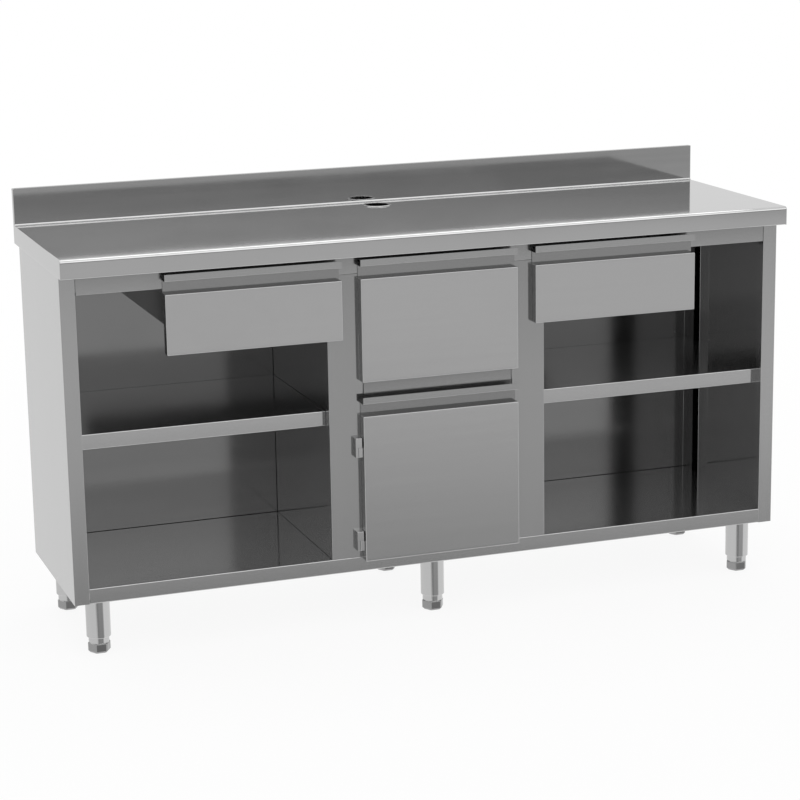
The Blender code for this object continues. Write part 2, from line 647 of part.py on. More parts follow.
def main():
    """Builds the counter in an emptied scene."""
    for obj in list(bpy.data.objects):
        bpy.data.objects.remove(obj)
    worktop()
    worktop_stiffener()
    cable_grommet()
    for side_name, side in (("left", -1), ("right", 1)):
        side_panel(f"{side_name}_side_panel", side)
        divider(f"{side_name}_divider", side)
        bay_shelf(side_name, side)
        side_drawer(f"{side_name}_drawer", side)
    back_panel()
    base_shelf()
    rail("top_front_rail", POST_FACE, RAIL_BOTTOM, BODY_TOP)
    rail("mid_rail", POST_INNER, MID_RAIL_BOTTOM, MID_RAIL_TOP)
    legs()
    centre_drawer()
    door()
    door_catch()


if __name__ == "__main__":
    main()
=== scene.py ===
"""Looks of a stainless steel coffee machine counter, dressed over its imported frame.

Sheet pieces are bent profiles carried along a straight line, trays are rounded rectangles carried along a
depth profile, hinge leaves are flat outlines with rounded ends, and legs, feet and rings are turned
profiles. All are worked out as whole numpy arrays, in metres, in the frame's own coordinates: +X along the
counter, -Y towards the user, +Z up.
"""

import json
import math

import bpy
import numpy as np
from bpy.props import FloatProperty, FloatVectorProperty, PointerProperty
from mathutils import Matrix, Vector


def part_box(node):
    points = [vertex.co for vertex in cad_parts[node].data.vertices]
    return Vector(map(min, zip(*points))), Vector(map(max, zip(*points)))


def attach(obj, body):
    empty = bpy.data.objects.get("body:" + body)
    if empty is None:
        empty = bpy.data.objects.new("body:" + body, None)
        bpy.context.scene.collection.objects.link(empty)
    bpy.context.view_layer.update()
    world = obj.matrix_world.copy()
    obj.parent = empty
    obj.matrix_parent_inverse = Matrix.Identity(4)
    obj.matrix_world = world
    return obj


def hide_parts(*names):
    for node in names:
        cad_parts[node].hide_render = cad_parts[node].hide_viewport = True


bl_info = {
    "name": "Coffee Machine Counter",
    "version": (1, 0, 0),
    "blender": (4, 5, 0),
    "location": "View3D > Sidebar > Counter",
    "description": "Dresses a stainless steel bar counter and sets it in a white studio",
    "category": "Object",
}

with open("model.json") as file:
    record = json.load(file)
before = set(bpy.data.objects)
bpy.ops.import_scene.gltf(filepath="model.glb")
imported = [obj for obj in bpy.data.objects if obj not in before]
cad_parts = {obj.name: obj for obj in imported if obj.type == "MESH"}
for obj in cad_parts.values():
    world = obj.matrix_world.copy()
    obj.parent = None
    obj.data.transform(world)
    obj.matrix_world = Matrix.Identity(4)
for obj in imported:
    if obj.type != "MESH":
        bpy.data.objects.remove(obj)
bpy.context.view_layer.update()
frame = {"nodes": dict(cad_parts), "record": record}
RECORD = frame["record"]
BODY_OF = {node: body for body, nodes in RECORD["behaviour"]["bodies"].items() for node in nodes}
JOINTS = {joint["name"]: joint for joint in RECORD["behaviour"]["joints"]}
BEND_ATTRIBUTE = "bend"
SHADE_ATTRIBUTE = "shade"
SIDES = (("left", -1), ("right", 1))
SHARP_ANGLE = math.radians(22)
EDGE_STEPS = 8  # facets in each bend of the worktop's profile
CORE = 0.2  # where a turned piece's flat ends begin, as a share of its radius
ON_FACE = 0.9  # how much of a bend's depth is shaded as the face that it comes from
NEAR = 0.3  # depth of the strip that counts as next to a face, as a share of a bend's radius
RAIL_SHARE = 0.9  # shade of the rails, as a share of the dividers'
TOLERANCE = 1e-6


# Sizes, finishes and stage values that a user may change


def length(name, description, default):
    """A size in metres."""
    return FloatProperty(name=name, description=description, default=default, min=0.0, unit="LENGTH")


def share(name, description, default):
    """A value between 0 and 1."""
    return FloatProperty(
        name=name, description=description, default=default, min=0.0, max=1.0, subtype="FACTOR"
    )


def number(name, description, default):
    """A plain value that isn't negative."""
    return FloatProperty(name=name, description=description, default=default, min=0.0)


def angle_of(name, description, degrees):
    """An angle, given in degrees."""
    return FloatProperty(
        name=name, description=description, default=math.radians(degrees), subtype="ANGLE"
    )


def colour(name, description, default):
    """A linear colour."""
    return FloatVectorProperty(
        name=name, description=description, default=default, min=0.0, max=1.0, size=3, subtype="COLOR"
    )


class CounterSizes(bpy.types.PropertyGroup):
    """Sizes of folds, edges and round pieces that the frame's boxes don't give."""

    sheet: length("Sheet", "Thickness of the body's sheet", 0.0012)
    top_sheet: length("Worktop sheet", "Thickness of the worktop", 0.0015)
    fit: length("Fit", "Gap between pieces that touch", 0.0003)
    bend: length("Bend radius", "Outer radius of a folded edge", 0.0026)
    post_bend: length("Post bend radius", "Outer radius of the posts' folds and the upstand's top", 0.0014)
    rear_bend: length("Rear bend radius", "Outer radius of the folds that meet the back panel", 0.0050)
    seam: length("Seam", "Shadow gap beside the dividers' walls", 0.0007)
    rail_gap: length("Rail gap", "Gap between a rail's end and a post", 0.0014)
    rear_post: length("Rear post", "Width of the box along a side panel's rear edge", 0.0254)
    # painted shadow: the slanted face is closed and painted near black as a dark slot
    post_slot: length("Post slot", "Depth of the dark slanted slot at a rear post's front corner", 0.0196)
    overhang: length("Overhang shadow", "Height over which the side posts darken under the worktop", 0.550)
    edge: length("Worktop edge radius", "Radius of the worktop's front edge", 0.009)
    edge_drop: length("Edge drop", "How far the worktop's folded edge reaches below its solid", 0.0035)
    cove: length("Cove radius", "Radius between worktop and upstand", 0.006)
    upstand_height: length("Upstand height", "Height of the upstand above the worktop", 0.100)
    upstand_thickness: length("Upstand thickness", "Front to back size of the upstand", 0.015)
    edge_return: length("Edge return", "Width of the fold under the worktop's front edge", 0.018)
    end_plate: length("End plate", "Thickness of the worktop's closed ends", 0.0032)
    end_round: length("End rounding", "Radius along the worktop's ends", 0.0022)
    rear_flange: length("Rear flange", "Width of an upright's rear flange", 0.025)
    post_return: length("Post return", "Depth of the fold behind a post", 0.030)
    shelf_return: length("Shelf return", "Width of the fold under a shelf's front", 0.012)
    cable_hole: length("Cable hole", "Diameter of the hole in the worktop", 0.070)
    grommet_bore: length("Grommet bore", "Clear diameter of the cable hole's sleeve", 0.064)
    grommet_rim: length("Grommet rim", "Height of the cable hole's rim", 0.002)
    lip: length("Lip height", "Height of the lip along a front's top", 0.018)
    recess: length("Recess height", "Height of a front's finger recess", 0.0325)
    front_return: length("Front return", "Width of the folds behind a drawer front", 0.022)
    front_round: length("Front rounding", "Outer radius of a front's folded edges", 0.0020)
    tube: length("Leg diameter", "Diameter of a leg's tube", 0.0635)
    leg_flange_thickness: length("Leg flange", "Thickness of a leg's fixing flange", 0.003)
    leg_crown: length("Leg crown", "Solid height above a leg's bore", 0.020)
    foot_height: length("Foot height", "Height of a foot's six-sided part", 0.025)
    foot_chamfer: length("Foot chamfer", "Chamfer round a foot's underside", 0.005)
    foot_round: length("Foot rounding", "Diameter that a foot's corners are turned down to", 0.0585)
    foot_flats: length("Foot flats", "Size of a foot across its flats", 0.053)
    neck: length("Neck diameter", "Diameter of a foot's neck", 0.054)
    hinge_face: length("Hinge face", "Distance of a hinge's flat front from its pin's axis", 0.0054)
    hinge_corner: length("Hinge corner", "Where a frame leaf's front ends, right of the pin's axis", 0.0040)
    hinge_round: length("Hinge rounding", "Radius along a hinge's outer edges", 0.0008)
    hinge_pad: length("Hinge pad", "Thickness of the door leaf against the door", 0.002)
    hinge_running: length("Hinge running gap", "Gap round a hinge's barrel", 0.0018)


class CounterFinishes(bpy.types.PropertyGroup):
    """Colours and gloss of the counter's materials, and how much darker parts of them are, mostly as
    painted shade.
    """

    steel: colour("Steel", "Colour of the stainless sheet", (0.52, 0.52, 0.52))
    steel_roughness: share("Steel roughness", "Roughness of the stainless sheet", 0.085)
    worktop_roughness: share("Worktop roughness", "Roughness of the worktop", 0.055)
    # painted shade: this colour is the satin steel made darker, so that rails look shaded under the
    # worktop; drawer boxes use it too, and the roughness below is the sheet's own
    mill: colour("Mill steel", "Colour of the rails' and drawer boxes' sheet", (0.46, 0.46, 0.46))
    mill_roughness: share("Mill roughness", "Roughness of the rails' and drawer boxes' sheet", 0.18)
    dull: colour("Dull steel", "Colour of the back panel's dull sheet", (0.27, 0.27, 0.27))
    dull_roughness: share("Dull roughness", "Roughness of the back panel's dull sheet", 0.12)
    sheet_metallic: share("Sheet metal share", "Mirror share of the sheets, the rest being matt", 0.93)
    bright: colour("Bright steel", "Colour of turned and cast steel", (0.60, 0.60, 0.60))
    bright_roughness: share("Bright roughness", "Roughness of turned and cast steel", 0.11)
    foot_shade: share("Foot shade", "How much darker the feet's six-sided parts are", 0.40)
    # painted shade: darkens the web of a finger recess, which lies under the lip
    recess_shade: share("Recess shade", "How much darker the unpolished sheet in a finger recess is", 0.38)
    groove_shade: share("Groove shade", "How much darker sheet is in narrow grooves and pockets", 0.88)
    # painted shadow on each rear post's slanted face; post_shade and cheek_shade are painted shade on its
    # front and side
    painted_slot_shade: share("Slot shade", "How much darker the slots in the rear posts are", 0.97)
    post_shade: share("Rear post shade", "How much darker the fronts of the rear posts are", 0.45)
    lip_shade: share("Lip shade", "How much darker a front's lip is under the worktop", 0.19)
    ledge_shade: share("Ledge shade", "How much darker the ledge at the foot of a finger recess is", 0.48)
    cheek_shade: share("Cheek shade", "How much darker the rear posts' sides are behind their slots", 0.62)
    side_shade: share("Side post shade", "How much darker the side posts are at their heads", 0.17)
    overhang_shade: share("Overhang shade", "How much darker dividers and rails are at their heads", 0.32)
    # painted shade in the crease at the cove's foot
    cove_shade: share("Cove shade", "How much darker the cove's foot is", 0.40)
    # the upstand's top and its folds are painted darker than the rest of the sheet
    top_shade: share("Top shade", "How much darker the raw top of the upstand is", 0.60)
    zinc: colour("Zinc", "Colour of zinc-plated steel", (0.50, 0.51, 0.53))
    zinc_roughness: share("Zinc roughness", "Roughness of zinc-plated steel", 0.38)
    rubber: colour("Rubber", "Colour of the knock bar's sleeve", (0.030, 0.030, 0.032))
    rubber_roughness: share("Rubber roughness", "Roughness of the knock bar's sleeve", 0.68)
    plastic: colour("Plastic", "Colour of the door catch", (0.18, 0.18, 0.19))
    plastic_roughness: share("Plastic roughness", "Roughness of the door catch", 0.50)


class CounterStage(bpy.types.PropertyGroup):
    """Camera, light and floor."""

    camera_place: FloatVectorProperty(
        name="Camera place",
        description="Where the camera stands",
        default=(-2.114, -5.941, 2.036),
        size=3,
        subtype="TRANSLATION",
        unit="LENGTH",
    )
    camera_turn: angle_of("Camera turn", "Heading to the right of +Y", 19.432)
    camera_fall: angle_of("Camera fall", "Look below the horizon", 13.342)
    camera_roll: angle_of("Camera roll", "Turn about the line of sight", -0.974)
    camera_lens: number("Camera lens", "Focal length on a 36 mm sensor, in mm", 106.3)
    white: colour("White", "Background and far studio", (1.0, 1.0, 1.0))
    left_level: share("Left level", "Brightness of the studio left of the counter", 0.80)
    right_level: share("Right level", "Brightness of the studio right of and behind the counter", 0.87)
    front_low: share("Front low", "Brightness of the studio before the counter, near the floor", 0.27)
    front_level: share("Front level", "Brightness of the studio before the counter, below eye level", 0.66)
    front_high: share("Front high", "Brightness of the studio before the counter, above eye level", 0.27)
    front_shade: share("Front shade", "How much dimmer the studio is on the camera's side", 0.55)
    front_key: number("Front key", "Gain of the studio's light high before the counter", 1.4)
    floor: colour("Floor", "Colour of the floor", (0.90, 0.90, 0.90))
    floor_radius: length("Floor radius", "Radius of the floor", 60.0)


# Numpy shapes. A part is a dict of points, their bend and shade masks, quads, and flat rings of point
# numbers.


def part(points, bend, quads, rings=()):
    """A part whose faces point outwards: all are turned round if its signed volume is negative."""
    fans = [np.stack([np.full(len(ring) - 2, ring[0]), ring[1:-1], ring[2:]], axis=1) for ring in rings]
    triangles = np.concatenate([quads[:, [0, 1, 2]], quads[:, [0, 2, 3]], *fans])
    a, b, c = (points[triangles[:, k]] for k in range(3))
    if np.einsum("ij,ij->i", a, np.cross(b, c)).sum() < 0.0:
        quads = quads[:, ::-1]
        rings = [ring[::-1] for ring in rings]
    shade = np.zeros(len(points))
    return {"points": points, "bend": bend, "shade": shade, "quads": quads, "rings": list(rings)}


def grid_quads(rows, columns, wrap=True):
    """Corner numbers of a grid's cells, row by row; wrap joins the last column to the first."""
    across = np.arange(columns if wrap else columns - 1)
    down = np.arange(rows - 1)[:, None] * columns
    first = down + across
    right = down + (across + 1) % columns
    return np.stack([first, right, right + columns, first + columns], axis=-1).reshape(-1, 4)


def end_rings(rows, columns):
    """A grid's first row, turned round, and its last row, as the flat faces that close its ends."""
    row = np.arange(columns)
    return [row[::-1], row + (rows - 1) * columns]


def band(first, second):
    """Quads between two closed loops of point numbers."""
    return np.stack([first, np.roll(first, -1), np.roll(second, -1), second], axis=1)


def spokes(angle):
    """Unit vectors at angles: (cos a, sin a)."""
    return np.stack([np.cos(angle), np.sin(angle)], axis=-1)


def on_axis(axis, along, flat):
    """Points at `along` on an axis, with the two other coordinates from `flat` in X, Y, Z order."""
    spread = np.broadcast_to(np.asarray(along, float)[..., None], flat.shape[:-1] + (1,))
    order = {"X": (spread, flat), "Z": (flat, spread), "Y": (flat[..., :1], spread, flat[..., 1:])}[axis]
    return np.concatenate(order, axis=-1)


def rounded(corners, radii, steps=6):
    """A path with its inner corners rounded, its unit normals to the right, and a mask of the bends.

    A corner that turns by angle t is cut r * tan(t / 2) before and after it. The arc between the cuts is
    centre + r * spoke, with the spoke turned from 0 to t.
    """
    corners = np.asarray(corners, float)
    runs = np.diff(corners, axis=0)
    runs /= np.linalg.norm(runs, axis=1, keepdims=True)
    before, after = runs[:-1], runs[1:]
    turn = np.arctan2(before[:, 0] * after[:, 1] - before[:, 1] * after[:, 0], (before * after).sum(axis=1))
    radii = np.broadcast_to(np.asarray(radii, float), turn.shape)
    left = np.stack([-before[:, 1], before[:, 0]], axis=1) * np.sign(turn)[:, None]
    start = corners[1:-1] - before * (radii * np.tan(np.abs(turn) / 2))[:, None]
    spoke = -left * radii[:, None]
    swing = turn[:, None] * np.linspace(0.0, 1.0, steps + 1)
    cos, sin = np.cos(swing), np.sin(swing)
    x = cos * spoke[:, :1] - sin * spoke[:, 1:]
    y = sin * spoke[:, :1] + cos * spoke[:, 1:]
    arcs = (start - spoke)[:, None, :] + np.stack([x, y], axis=-1)
    heading = np.arctan2(before[:, 1], before[:, 0])[:, None] + swing
    ends = np.arctan2(runs[[0, -1], 1], runs[[0, -1], 0])
    heading = np.concatenate([ends[:1], heading.ravel(), ends[1:]])
    path = np.concatenate([corners[:1], arcs.reshape(-1, 2), corners[-1:]])
    normals = np.stack([np.sin(heading), -np.cos(heading)], axis=1)
    inside_arc = np.zeros((len(turn), steps + 1))
    inside_arc[:, 1:-1] = 1.0
    bend = np.concatenate([[0.0], inside_arc.ravel(), [0.0]])
    return path, normals, bend


def sheet_ring(path, normals, bend, thickness):
    """The closed outline of a bent sheet: along its outer face and back along its inner one."""
    ring = np.concatenate([path, (path + normals * thickness)[::-1]])
    return ring, np.concatenate([bend, bend[::-1]])


def carried(ring, bend, axis, stations):
    """A sheet's outline carried along an axis: point (i, j) is ring j at station i. The ends are closed."""
    stations = np.asarray(stations, float)
    rows, columns = len(stations), len(ring)
    flat = np.broadcast_to(ring, (rows, columns, 2))
    points = on_axis(axis, stations[:, None], flat).reshape(-1, 3)
    half = columns // 2
    outer = np.arange(half - 1)
    strip = np.stack([outer, columns - 1 - outer, columns - 2 - outer, outer + 1], axis=1)
    far = strip[:, ::-1] + (rows - 1) * columns
    quads = np.concatenate([grid_quads(rows, columns), strip, far])
    return points, np.tile(bend, rows), quads


def sheet(corners, radii, thickness, axis, stations, mirror=False):
    """A bent sheet: its outer face's path, rounded, thickened to its right and carried along an axis."""
    ring, bend = sheet_ring(*rounded(corners, radii), thickness)
    if mirror:
        ring = ring * (-1.0, 1.0)
    return part(*carried(ring, bend, axis, stations))


def inset(outline, distances):
    """Copies of a closed outline, each moved inwards by its distance along the corners' mitres."""
    after = np.roll(outline, -1, axis=0) - outline
    after /= np.linalg.norm(after, axis=1, keepdims=True)
    before = np.roll(after, 1, axis=0)
    area = np.sum(outline[:, 0] * np.roll(outline[:, 1], -1) - np.roll(outline[:, 0], -1) * outline[:, 1])
    turn = np.array([[0.0, 1.0], [-1.0, 0.0]]) * np.sign(area)
    first, last = before @ turn, after @ turn
    mitre = (first + last) / (1.0 + (first * last).sum(axis=1, keepdims=True))
    return outline + np.asarray(distances)[:, None, None] * mitre


def slab(outline, axis, start, end, radius, steps=4, both=True):
    """A flat outline carried along an axis with its end edges rounded.

    At angle t the outline is inset by r * (1 - sin t) and lies r * (1 - cos t) from the end.
    """
    angle = np.linspace(0.0, math.pi / 2, steps + 1)
    cut, back = radius * (1.0 - np.sin(angle)), radius * (1.0 - np.cos(angle))
    ramp = np.where((angle > 0.0) & (angle < math.pi / 2), 1.0, 0.0)
    sign = np.sign(end - start)
    near = (cut, start + sign * back, ramp) if both else ([0.0], [start], [0.0])
    cuts = np.concatenate([near[0], cut[::-1]])
    stations = np.concatenate([near[1], (end - sign * back)[::-1]])
    bends = np.concatenate([near[2], ramp[::-1]])
    loops = inset(np.asarray(outline, float), cuts)
    rows, columns = loops.shape[:2]
    points = on_axis(axis, stations[:, None], loops).reshape(-1, 3)
    return part(points, np.repeat(bends, columns), grid_quads(rows, columns), end_rings(rows, columns))


def tray(low, high, depth_axis, floor, depth, rim, thickness, radius, steps=5):
    """A folded tray: a rounded rectangle carried along a depth profile.

    The profile runs from the flat floor, round the bend, up the wall and over the rim's return, if it has
    one, and back along the inside. Its first coordinate is the inset from the rectangle's sides.
    """
    low, high = np.asarray(low, float), np.asarray(high, float)
    wall, way = abs(depth), math.copysign(1.0, depth)
    floor_inset, tightest = 4.0 * radius, 0.25 * radius
    corners = [(floor_inset, 0.0), (0.0, 0.0), (0.0, wall)] + ([(rim, wall)] if rim else [])
    ring, bend = sheet_ring(*rounded(corners, radius), thickness)
    insets, heights = ring[:, 0], ring[:, 1]
    corner_radius = np.maximum(radius - insets, tightest)[:, None, None]
    angle = np.linspace(0.0, math.pi / 2, steps + 1) + np.arange(4)[:, None] * math.pi / 2
    spoke = spokes(angle).reshape(-1, 2)
    sides = np.repeat(np.sign(spokes(angle.mean(axis=1))), steps + 1, axis=0)
    half = (high - low) / 2 - insets[:, None]
    loops = (low + high) / 2 + sides * (half[:, None, :] - corner_radius) + corner_radius * spoke
    rows, columns = loops.shape[:2]
    points = on_axis(depth_axis, (floor + way * heights)[:, None], loops).reshape(-1, 3)
    turns = np.tile(np.r_[0.0, np.ones(steps - 1), 0.0], 4 * rows)
    bend = np.maximum(np.repeat(bend, columns), turns * np.repeat(insets < radius, columns))
    return part(points, bend, grid_quads(rows, columns), end_rings(rows, columns))


def turned(profile, radii, centre, axis="Z", segments=64, closed=False, shape=None):
    """A profile of (radius, height) corners, rounded, turned about an axis through a centre.

    shape gives each profile point's radius as a function of the angle, such as a hexagon's. An open profile
    starts and ends on flat discs.
    """
    corners = np.asarray(profile, float)
    if closed:
        middle = (corners[:1] + corners[-1:]) / 2
        corners = np.concatenate([middle, corners, middle])
    path, _, bend = rounded(corners, radii)
    if closed:
        path, bend = path[:-1], bend[:-1]
    angle = np.arange(segments) * (math.tau / segments)
    reach = np.broadcast_to(path[:, :1], (len(path), segments))
    if shape is not None:
        reach = shape(path, angle)
    flat = reach[..., None] * spokes(angle) + np.asarray(centre, float)
    points = on_axis(axis, path[:, 1:], flat).reshape(-1, 3)
    quads, rings = grid_quads(len(path), segments), end_rings(len(path), segments)
    if closed:
        quads, rings = np.concatenate([quads, band(rings[1], rings[0][::-1])]), []
    return part(points, np.repeat(bend, segments), quads, rings)


# Pieces made of parts


def corners_of(node):
    """A node's lowest and highest corner."""
    low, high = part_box(node)
    return Vector(low), Vector(high)


def dress(node, parts, material):
    """Makes one mesh of parts, gives it a material, and lets it stand for a CAD node on its body."""
    sizes = np.cumsum([0] + [len(p["points"]) for p in parts])
    points = np.concatenate([p["points"] for p in parts])
    quads = np.concatenate([p["quads"] + base for p, base in zip(parts, sizes)])
    rings = [ring + base for p, base in zip(parts, sizes) for ring in p["rings"]]
    loops = np.concatenate([quads.ravel(), *rings])
    counts = np.concatenate([np.full(len(quads), 4), [len(ring) for ring in rings]]).astype(int)
    mesh = bpy.data.meshes.new(f"{node}_finished")
    mesh.vertices.add(len(points))
    mesh.vertices.foreach_set("co", points.ravel())
    mesh.loops.add(len(loops))
    mesh.loops.foreach_set("vertex_index", loops.astype(np.int32))
    mesh.polygons.add(len(counts))
    mesh.polygons.foreach_set("loop_start", (np.cumsum(counts) - counts).astype(np.int32))
    mesh.update(calc_edges=True)
    mesh.validate()
    for name in (BEND_ATTRIBUTE, SHADE_ATTRIBUTE):
        mask = mesh.attributes.new(name, "FLOAT", "POINT")
        mask.data.foreach_set("value", np.concatenate([p[name] for p in parts]).astype(np.float32))
    mesh.shade_smooth()
    mesh.set_sharp_from_angle(angle=SHARP_ANGLE)
    mesh.materials.append(material)
    piece = bpy.data.objects.new(f"{node}_finished", mesh)
    bpy.context.scene.collection.objects.link(piece)
    weighted = piece.modifiers.new("flat faces stay flat", "WEIGHTED_NORMAL")
    weighted.keep_sharp = True
    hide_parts(node)
    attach(piece, BODY_OF[node])
    return piece


def paint(node, material):
    """Gives a CAD node that keeps its own mesh a material of the scene."""
    data = frame["nodes"][node].data
    data.materials.clear()
    data.materials.append(material)


# Shader groups

LENGTHWISE = (0.02, 1.0, 1.0)
UPRIGHT = (1.0, 1.0, 0.02)
INWARDS = (1.0, 0.02, 1.0)
ALL_ROUND = (1.0, 1.0, 1.0)
DIRECTION_NAMES = {LENGTHWISE: "lengthwise", UPRIGHT: "upright", INWARDS: "inwards"}


def new_group(name, inputs, outputs):
    """An empty shader group with named sockets, its input node and its output node."""
    group = bpy.data.node_groups.new(name, "ShaderNodeTree")
    for label, kind, value in inputs:
        socket = group.interface.new_socket(name=label, in_out="INPUT", socket_type=kind)
        if value is not None:
            socket.default_value = value
    for label, kind in outputs:
        group.interface.new_socket(name=label, in_out="OUTPUT", socket_type=kind)
    return group, group.nodes.new("NodeGroupInput"), group.nodes.new("NodeGroupOutput")


def feed(tree, socket, value):
    """Links an input to a socket, or sets it to a plain value."""
    if isinstance(value, bpy.types.NodeSocket):
        tree.links.new(value, socket)
    else:
        socket.default_value = value


def math_node(tree, operation, *values):
    """A math node fed by sockets or plain numbers; returns its result."""
    node = tree.nodes.new("ShaderNodeMath")
    node.operation = operation
    for socket, value in zip(node.inputs, values):
        feed(tree, socket, value)
    return node.outputs[0]


def vector_node(tree, operation, vector, other):
    """A vector multiplied by another one, or scaled by a number."""
    node = tree.nodes.new("ShaderNodeVectorMath")
    node.operation = operation
    feed(tree, node.inputs[0], vector)
    feed(tree, node.inputs["Scale" if operation == "SCALE" else 1], other)
    return node.outputs["Vector"]


def noise_node(tree, vector, scale, detail):
    """A noise texture's value at a vector."""
    node = tree.nodes.new("ShaderNodeTexNoise")
    node.inputs["Scale"].default_value = scale
    node.inputs["Detail"].default_value = detail
    tree.links.new(vector, node.inputs["Vector"])
    return node.outputs["Fac"]


def span_node(tree, value, low, high, out_low, out_high):
    """A value's range mapped smoothly onto another."""
    node = tree.nodes.new("ShaderNodeMapRange")
    node.interpolation_type = "SMOOTHSTEP"
    for label, number in zip(("From Min", "From Max", "To Min", "To Max"), (low, high, out_low, out_high)):
        node.inputs[label].default_value = number
    tree.links.new(value, node.inputs["Value"])
    return node.outputs["Result"]


def brushing_group():
    """Grain of brushed sheet: noise drawn out along one axis, as a fine line and a broad streak."""
    name = "brushing"
    if name in bpy.data.node_groups:
        return bpy.data.node_groups[name]
    group, entry, result = new_group(
        name,
        [("Vector", "NodeSocketVector", None), ("Stretch", "NodeSocketVector", LENGTHWISE)],
        [("Line", "NodeSocketFloat"), ("Streak", "NodeSocketFloat")],
    )
    drawn = vector_node(group, "MULTIPLY", entry.outputs["Vector"], entry.outputs["Stretch"])
    group.links.new(noise_node(group, drawn, scale=900.0, detail=2.0), result.inputs["Line"])
    group.links.new(noise_node(group, drawn, scale=60.0, detail=3.0), result.inputs["Streak"])
    return group


def handling_group():
    """Wiped and handled patches: soft clouds broken by a finer cloud, from 0, clean, to 1."""
    name = "handling"
    if name in bpy.data.node_groups:
        return bpy.data.node_groups[name]
    group, entry, result = new_group(
        name,
        [("Vector", "NodeSocketVector", None), ("Size", "NodeSocketFloat", 3.0)],
        [("Patch", "NodeSocketFloat")],
    )
    sized = vector_node(group, "SCALE", entry.outputs["Vector"], entry.outputs["Size"])
    broad = span_node(group, noise_node(group, sized, scale=1.0, detail=2.0), 0.42, 0.68, 0.0, 1.0)
    fine = noise_node(group, sized, scale=9.0, detail=4.0)
    group.links.new(math_node(group, "MULTIPLY", broad, fine), result.inputs["Patch"])
    return group


def edge_wear_and_highlight_group():
    """Wear and painted highlight along folded edges: the mesh's bend mask, broken by noise."""
    name = "edge wear"
    if name in bpy.data.node_groups:
        return bpy.data.node_groups[name]
    group, entry, result = new_group(
        name, [("Vector", "NodeSocketVector", None)], [("Wear", "NodeSocketFloat")]
    )
    mask = group.nodes.new("ShaderNodeAttribute")
    mask.attribute_name = BEND_ATTRIBUTE
    noise = noise_node(group, entry.outputs["Vector"], scale=14.0, detail=3.0)
    broken = span_node(group, noise, 0.30, 0.60, 0.55, 1.0)
    group.links.new(math_node(group, "MULTIPLY", mask.outputs["Fac"], broken), result.inputs["Wear"])
    return group


def place_group(tree, group, vector):
    """A group's node in a material, fed with object coordinates."""
    node = tree.nodes.new("ShaderNodeGroup")
    node.node_tree = group
    tree.links.new(vector, node.inputs["Vector"])
    return node


def tint(tree, base, shade, mask):
    """A colour that turns from base to shade under a mask; base may be a socket."""
    node = tree.nodes.new("ShaderNodeMix")
    node.data_type = "RGBA"
    tree.links.new(mask, node.inputs["Factor"])
    feed(tree, node.inputs["A"], base if isinstance(base, bpy.types.NodeSocket) else (*base, 1.0))
    node.inputs["B"].default_value = (*shade, 1.0)
    return node.outputs["Result"]


def scaled(colour_value, factor):
    """A colour made lighter or darker, kept below white."""
    return tuple(min(channel * factor, 1.0) for channel in colour_value)


# Materials


def empty_material(name):
    """A material's tree, its Principled shader and its object coordinates."""
    material = bpy.data.materials.new(name)
    material.use_nodes = True
    tree = material.node_tree
    place = tree.nodes.new("ShaderNodeTexCoord").outputs["Object"]
    return material, tree, tree.nodes["Principled BSDF"], place


def bump(tree, shader, height, strength, distance):
    """Feeds the shader's normal from a height."""
    node = tree.nodes.new("ShaderNodeBump")
    node.inputs["Strength"].default_value = strength
    node.inputs["Distance"].default_value = distance
    tree.links.new(height, node.inputs["Height"])
    tree.links.new(node.outputs["Normal"], shader.inputs["Normal"])


STREAK = 0.035  # how much lighter and darker than the sheet its streaks are
# folded edges are brightened both as wear and as painted highlight
EDGE_WEAR_AND_HIGHLIGHT = 1.22  # how much brighter worn edges are
GLOSS_SPREAD = 0.05  # how far streaks and handling change the roughness
GRAIN_HEIGHT = 0.0002


def brushed_metal(name, base, roughness, stretch, grain, metallic=1.0):
    """Brushed metal: fine grain in the bump and gloss, streaks, handled patches and bright folded edges.

    The folded edges are brightened as wear and as painted highlight. The mesh's shade mask darkens the
    colour: painted shade on most sheets, and the feet's own darker tone.
    """
    if name in bpy.data.materials:
        return bpy.data.materials[name]
    material, tree, shader, place = empty_material(name)
    shader.inputs["Metallic"].default_value = metallic
    brushing = place_group(tree, brushing_group(), place)
    brushing.inputs["Stretch"].default_value = stretch
    handling = place_group(tree, handling_group(), place)
    # folded edges brightened as wear and as painted highlight
    wear = place_group(tree, edge_wear_and_highlight_group(), place).outputs["Wear"]
    streak = brushing.outputs["Streak"]
    toned = tint(tree, scaled(base, 1.0 - STREAK), scaled(base, 1.0 + STREAK), streak)
    edged = tint(tree, toned, scaled(base, EDGE_WEAR_AND_HIGHLIGHT), wear)
    shade = tree.nodes.new("ShaderNodeAttribute")
    shade.attribute_name = SHADE_ATTRIBUTE
    shaded = vector_node(tree, "SCALE", edged, math_node(tree, "SUBTRACT", 1.0, shade.outputs["Fac"]))
    tree.links.new(shaded, shader.inputs["Base Color"])
    gloss = math_node(tree, "MULTIPLY_ADD", streak, GLOSS_SPREAD, roughness - GLOSS_SPREAD / 2)
    marked = math_node(tree, "MULTIPLY_ADD", handling.outputs["Patch"], GLOSS_SPREAD, gloss)
    tree.links.new(marked, shader.inputs["Roughness"])
    bump(tree, shader, brushing.outputs["Line"], grain, GRAIN_HEIGHT)
    return material


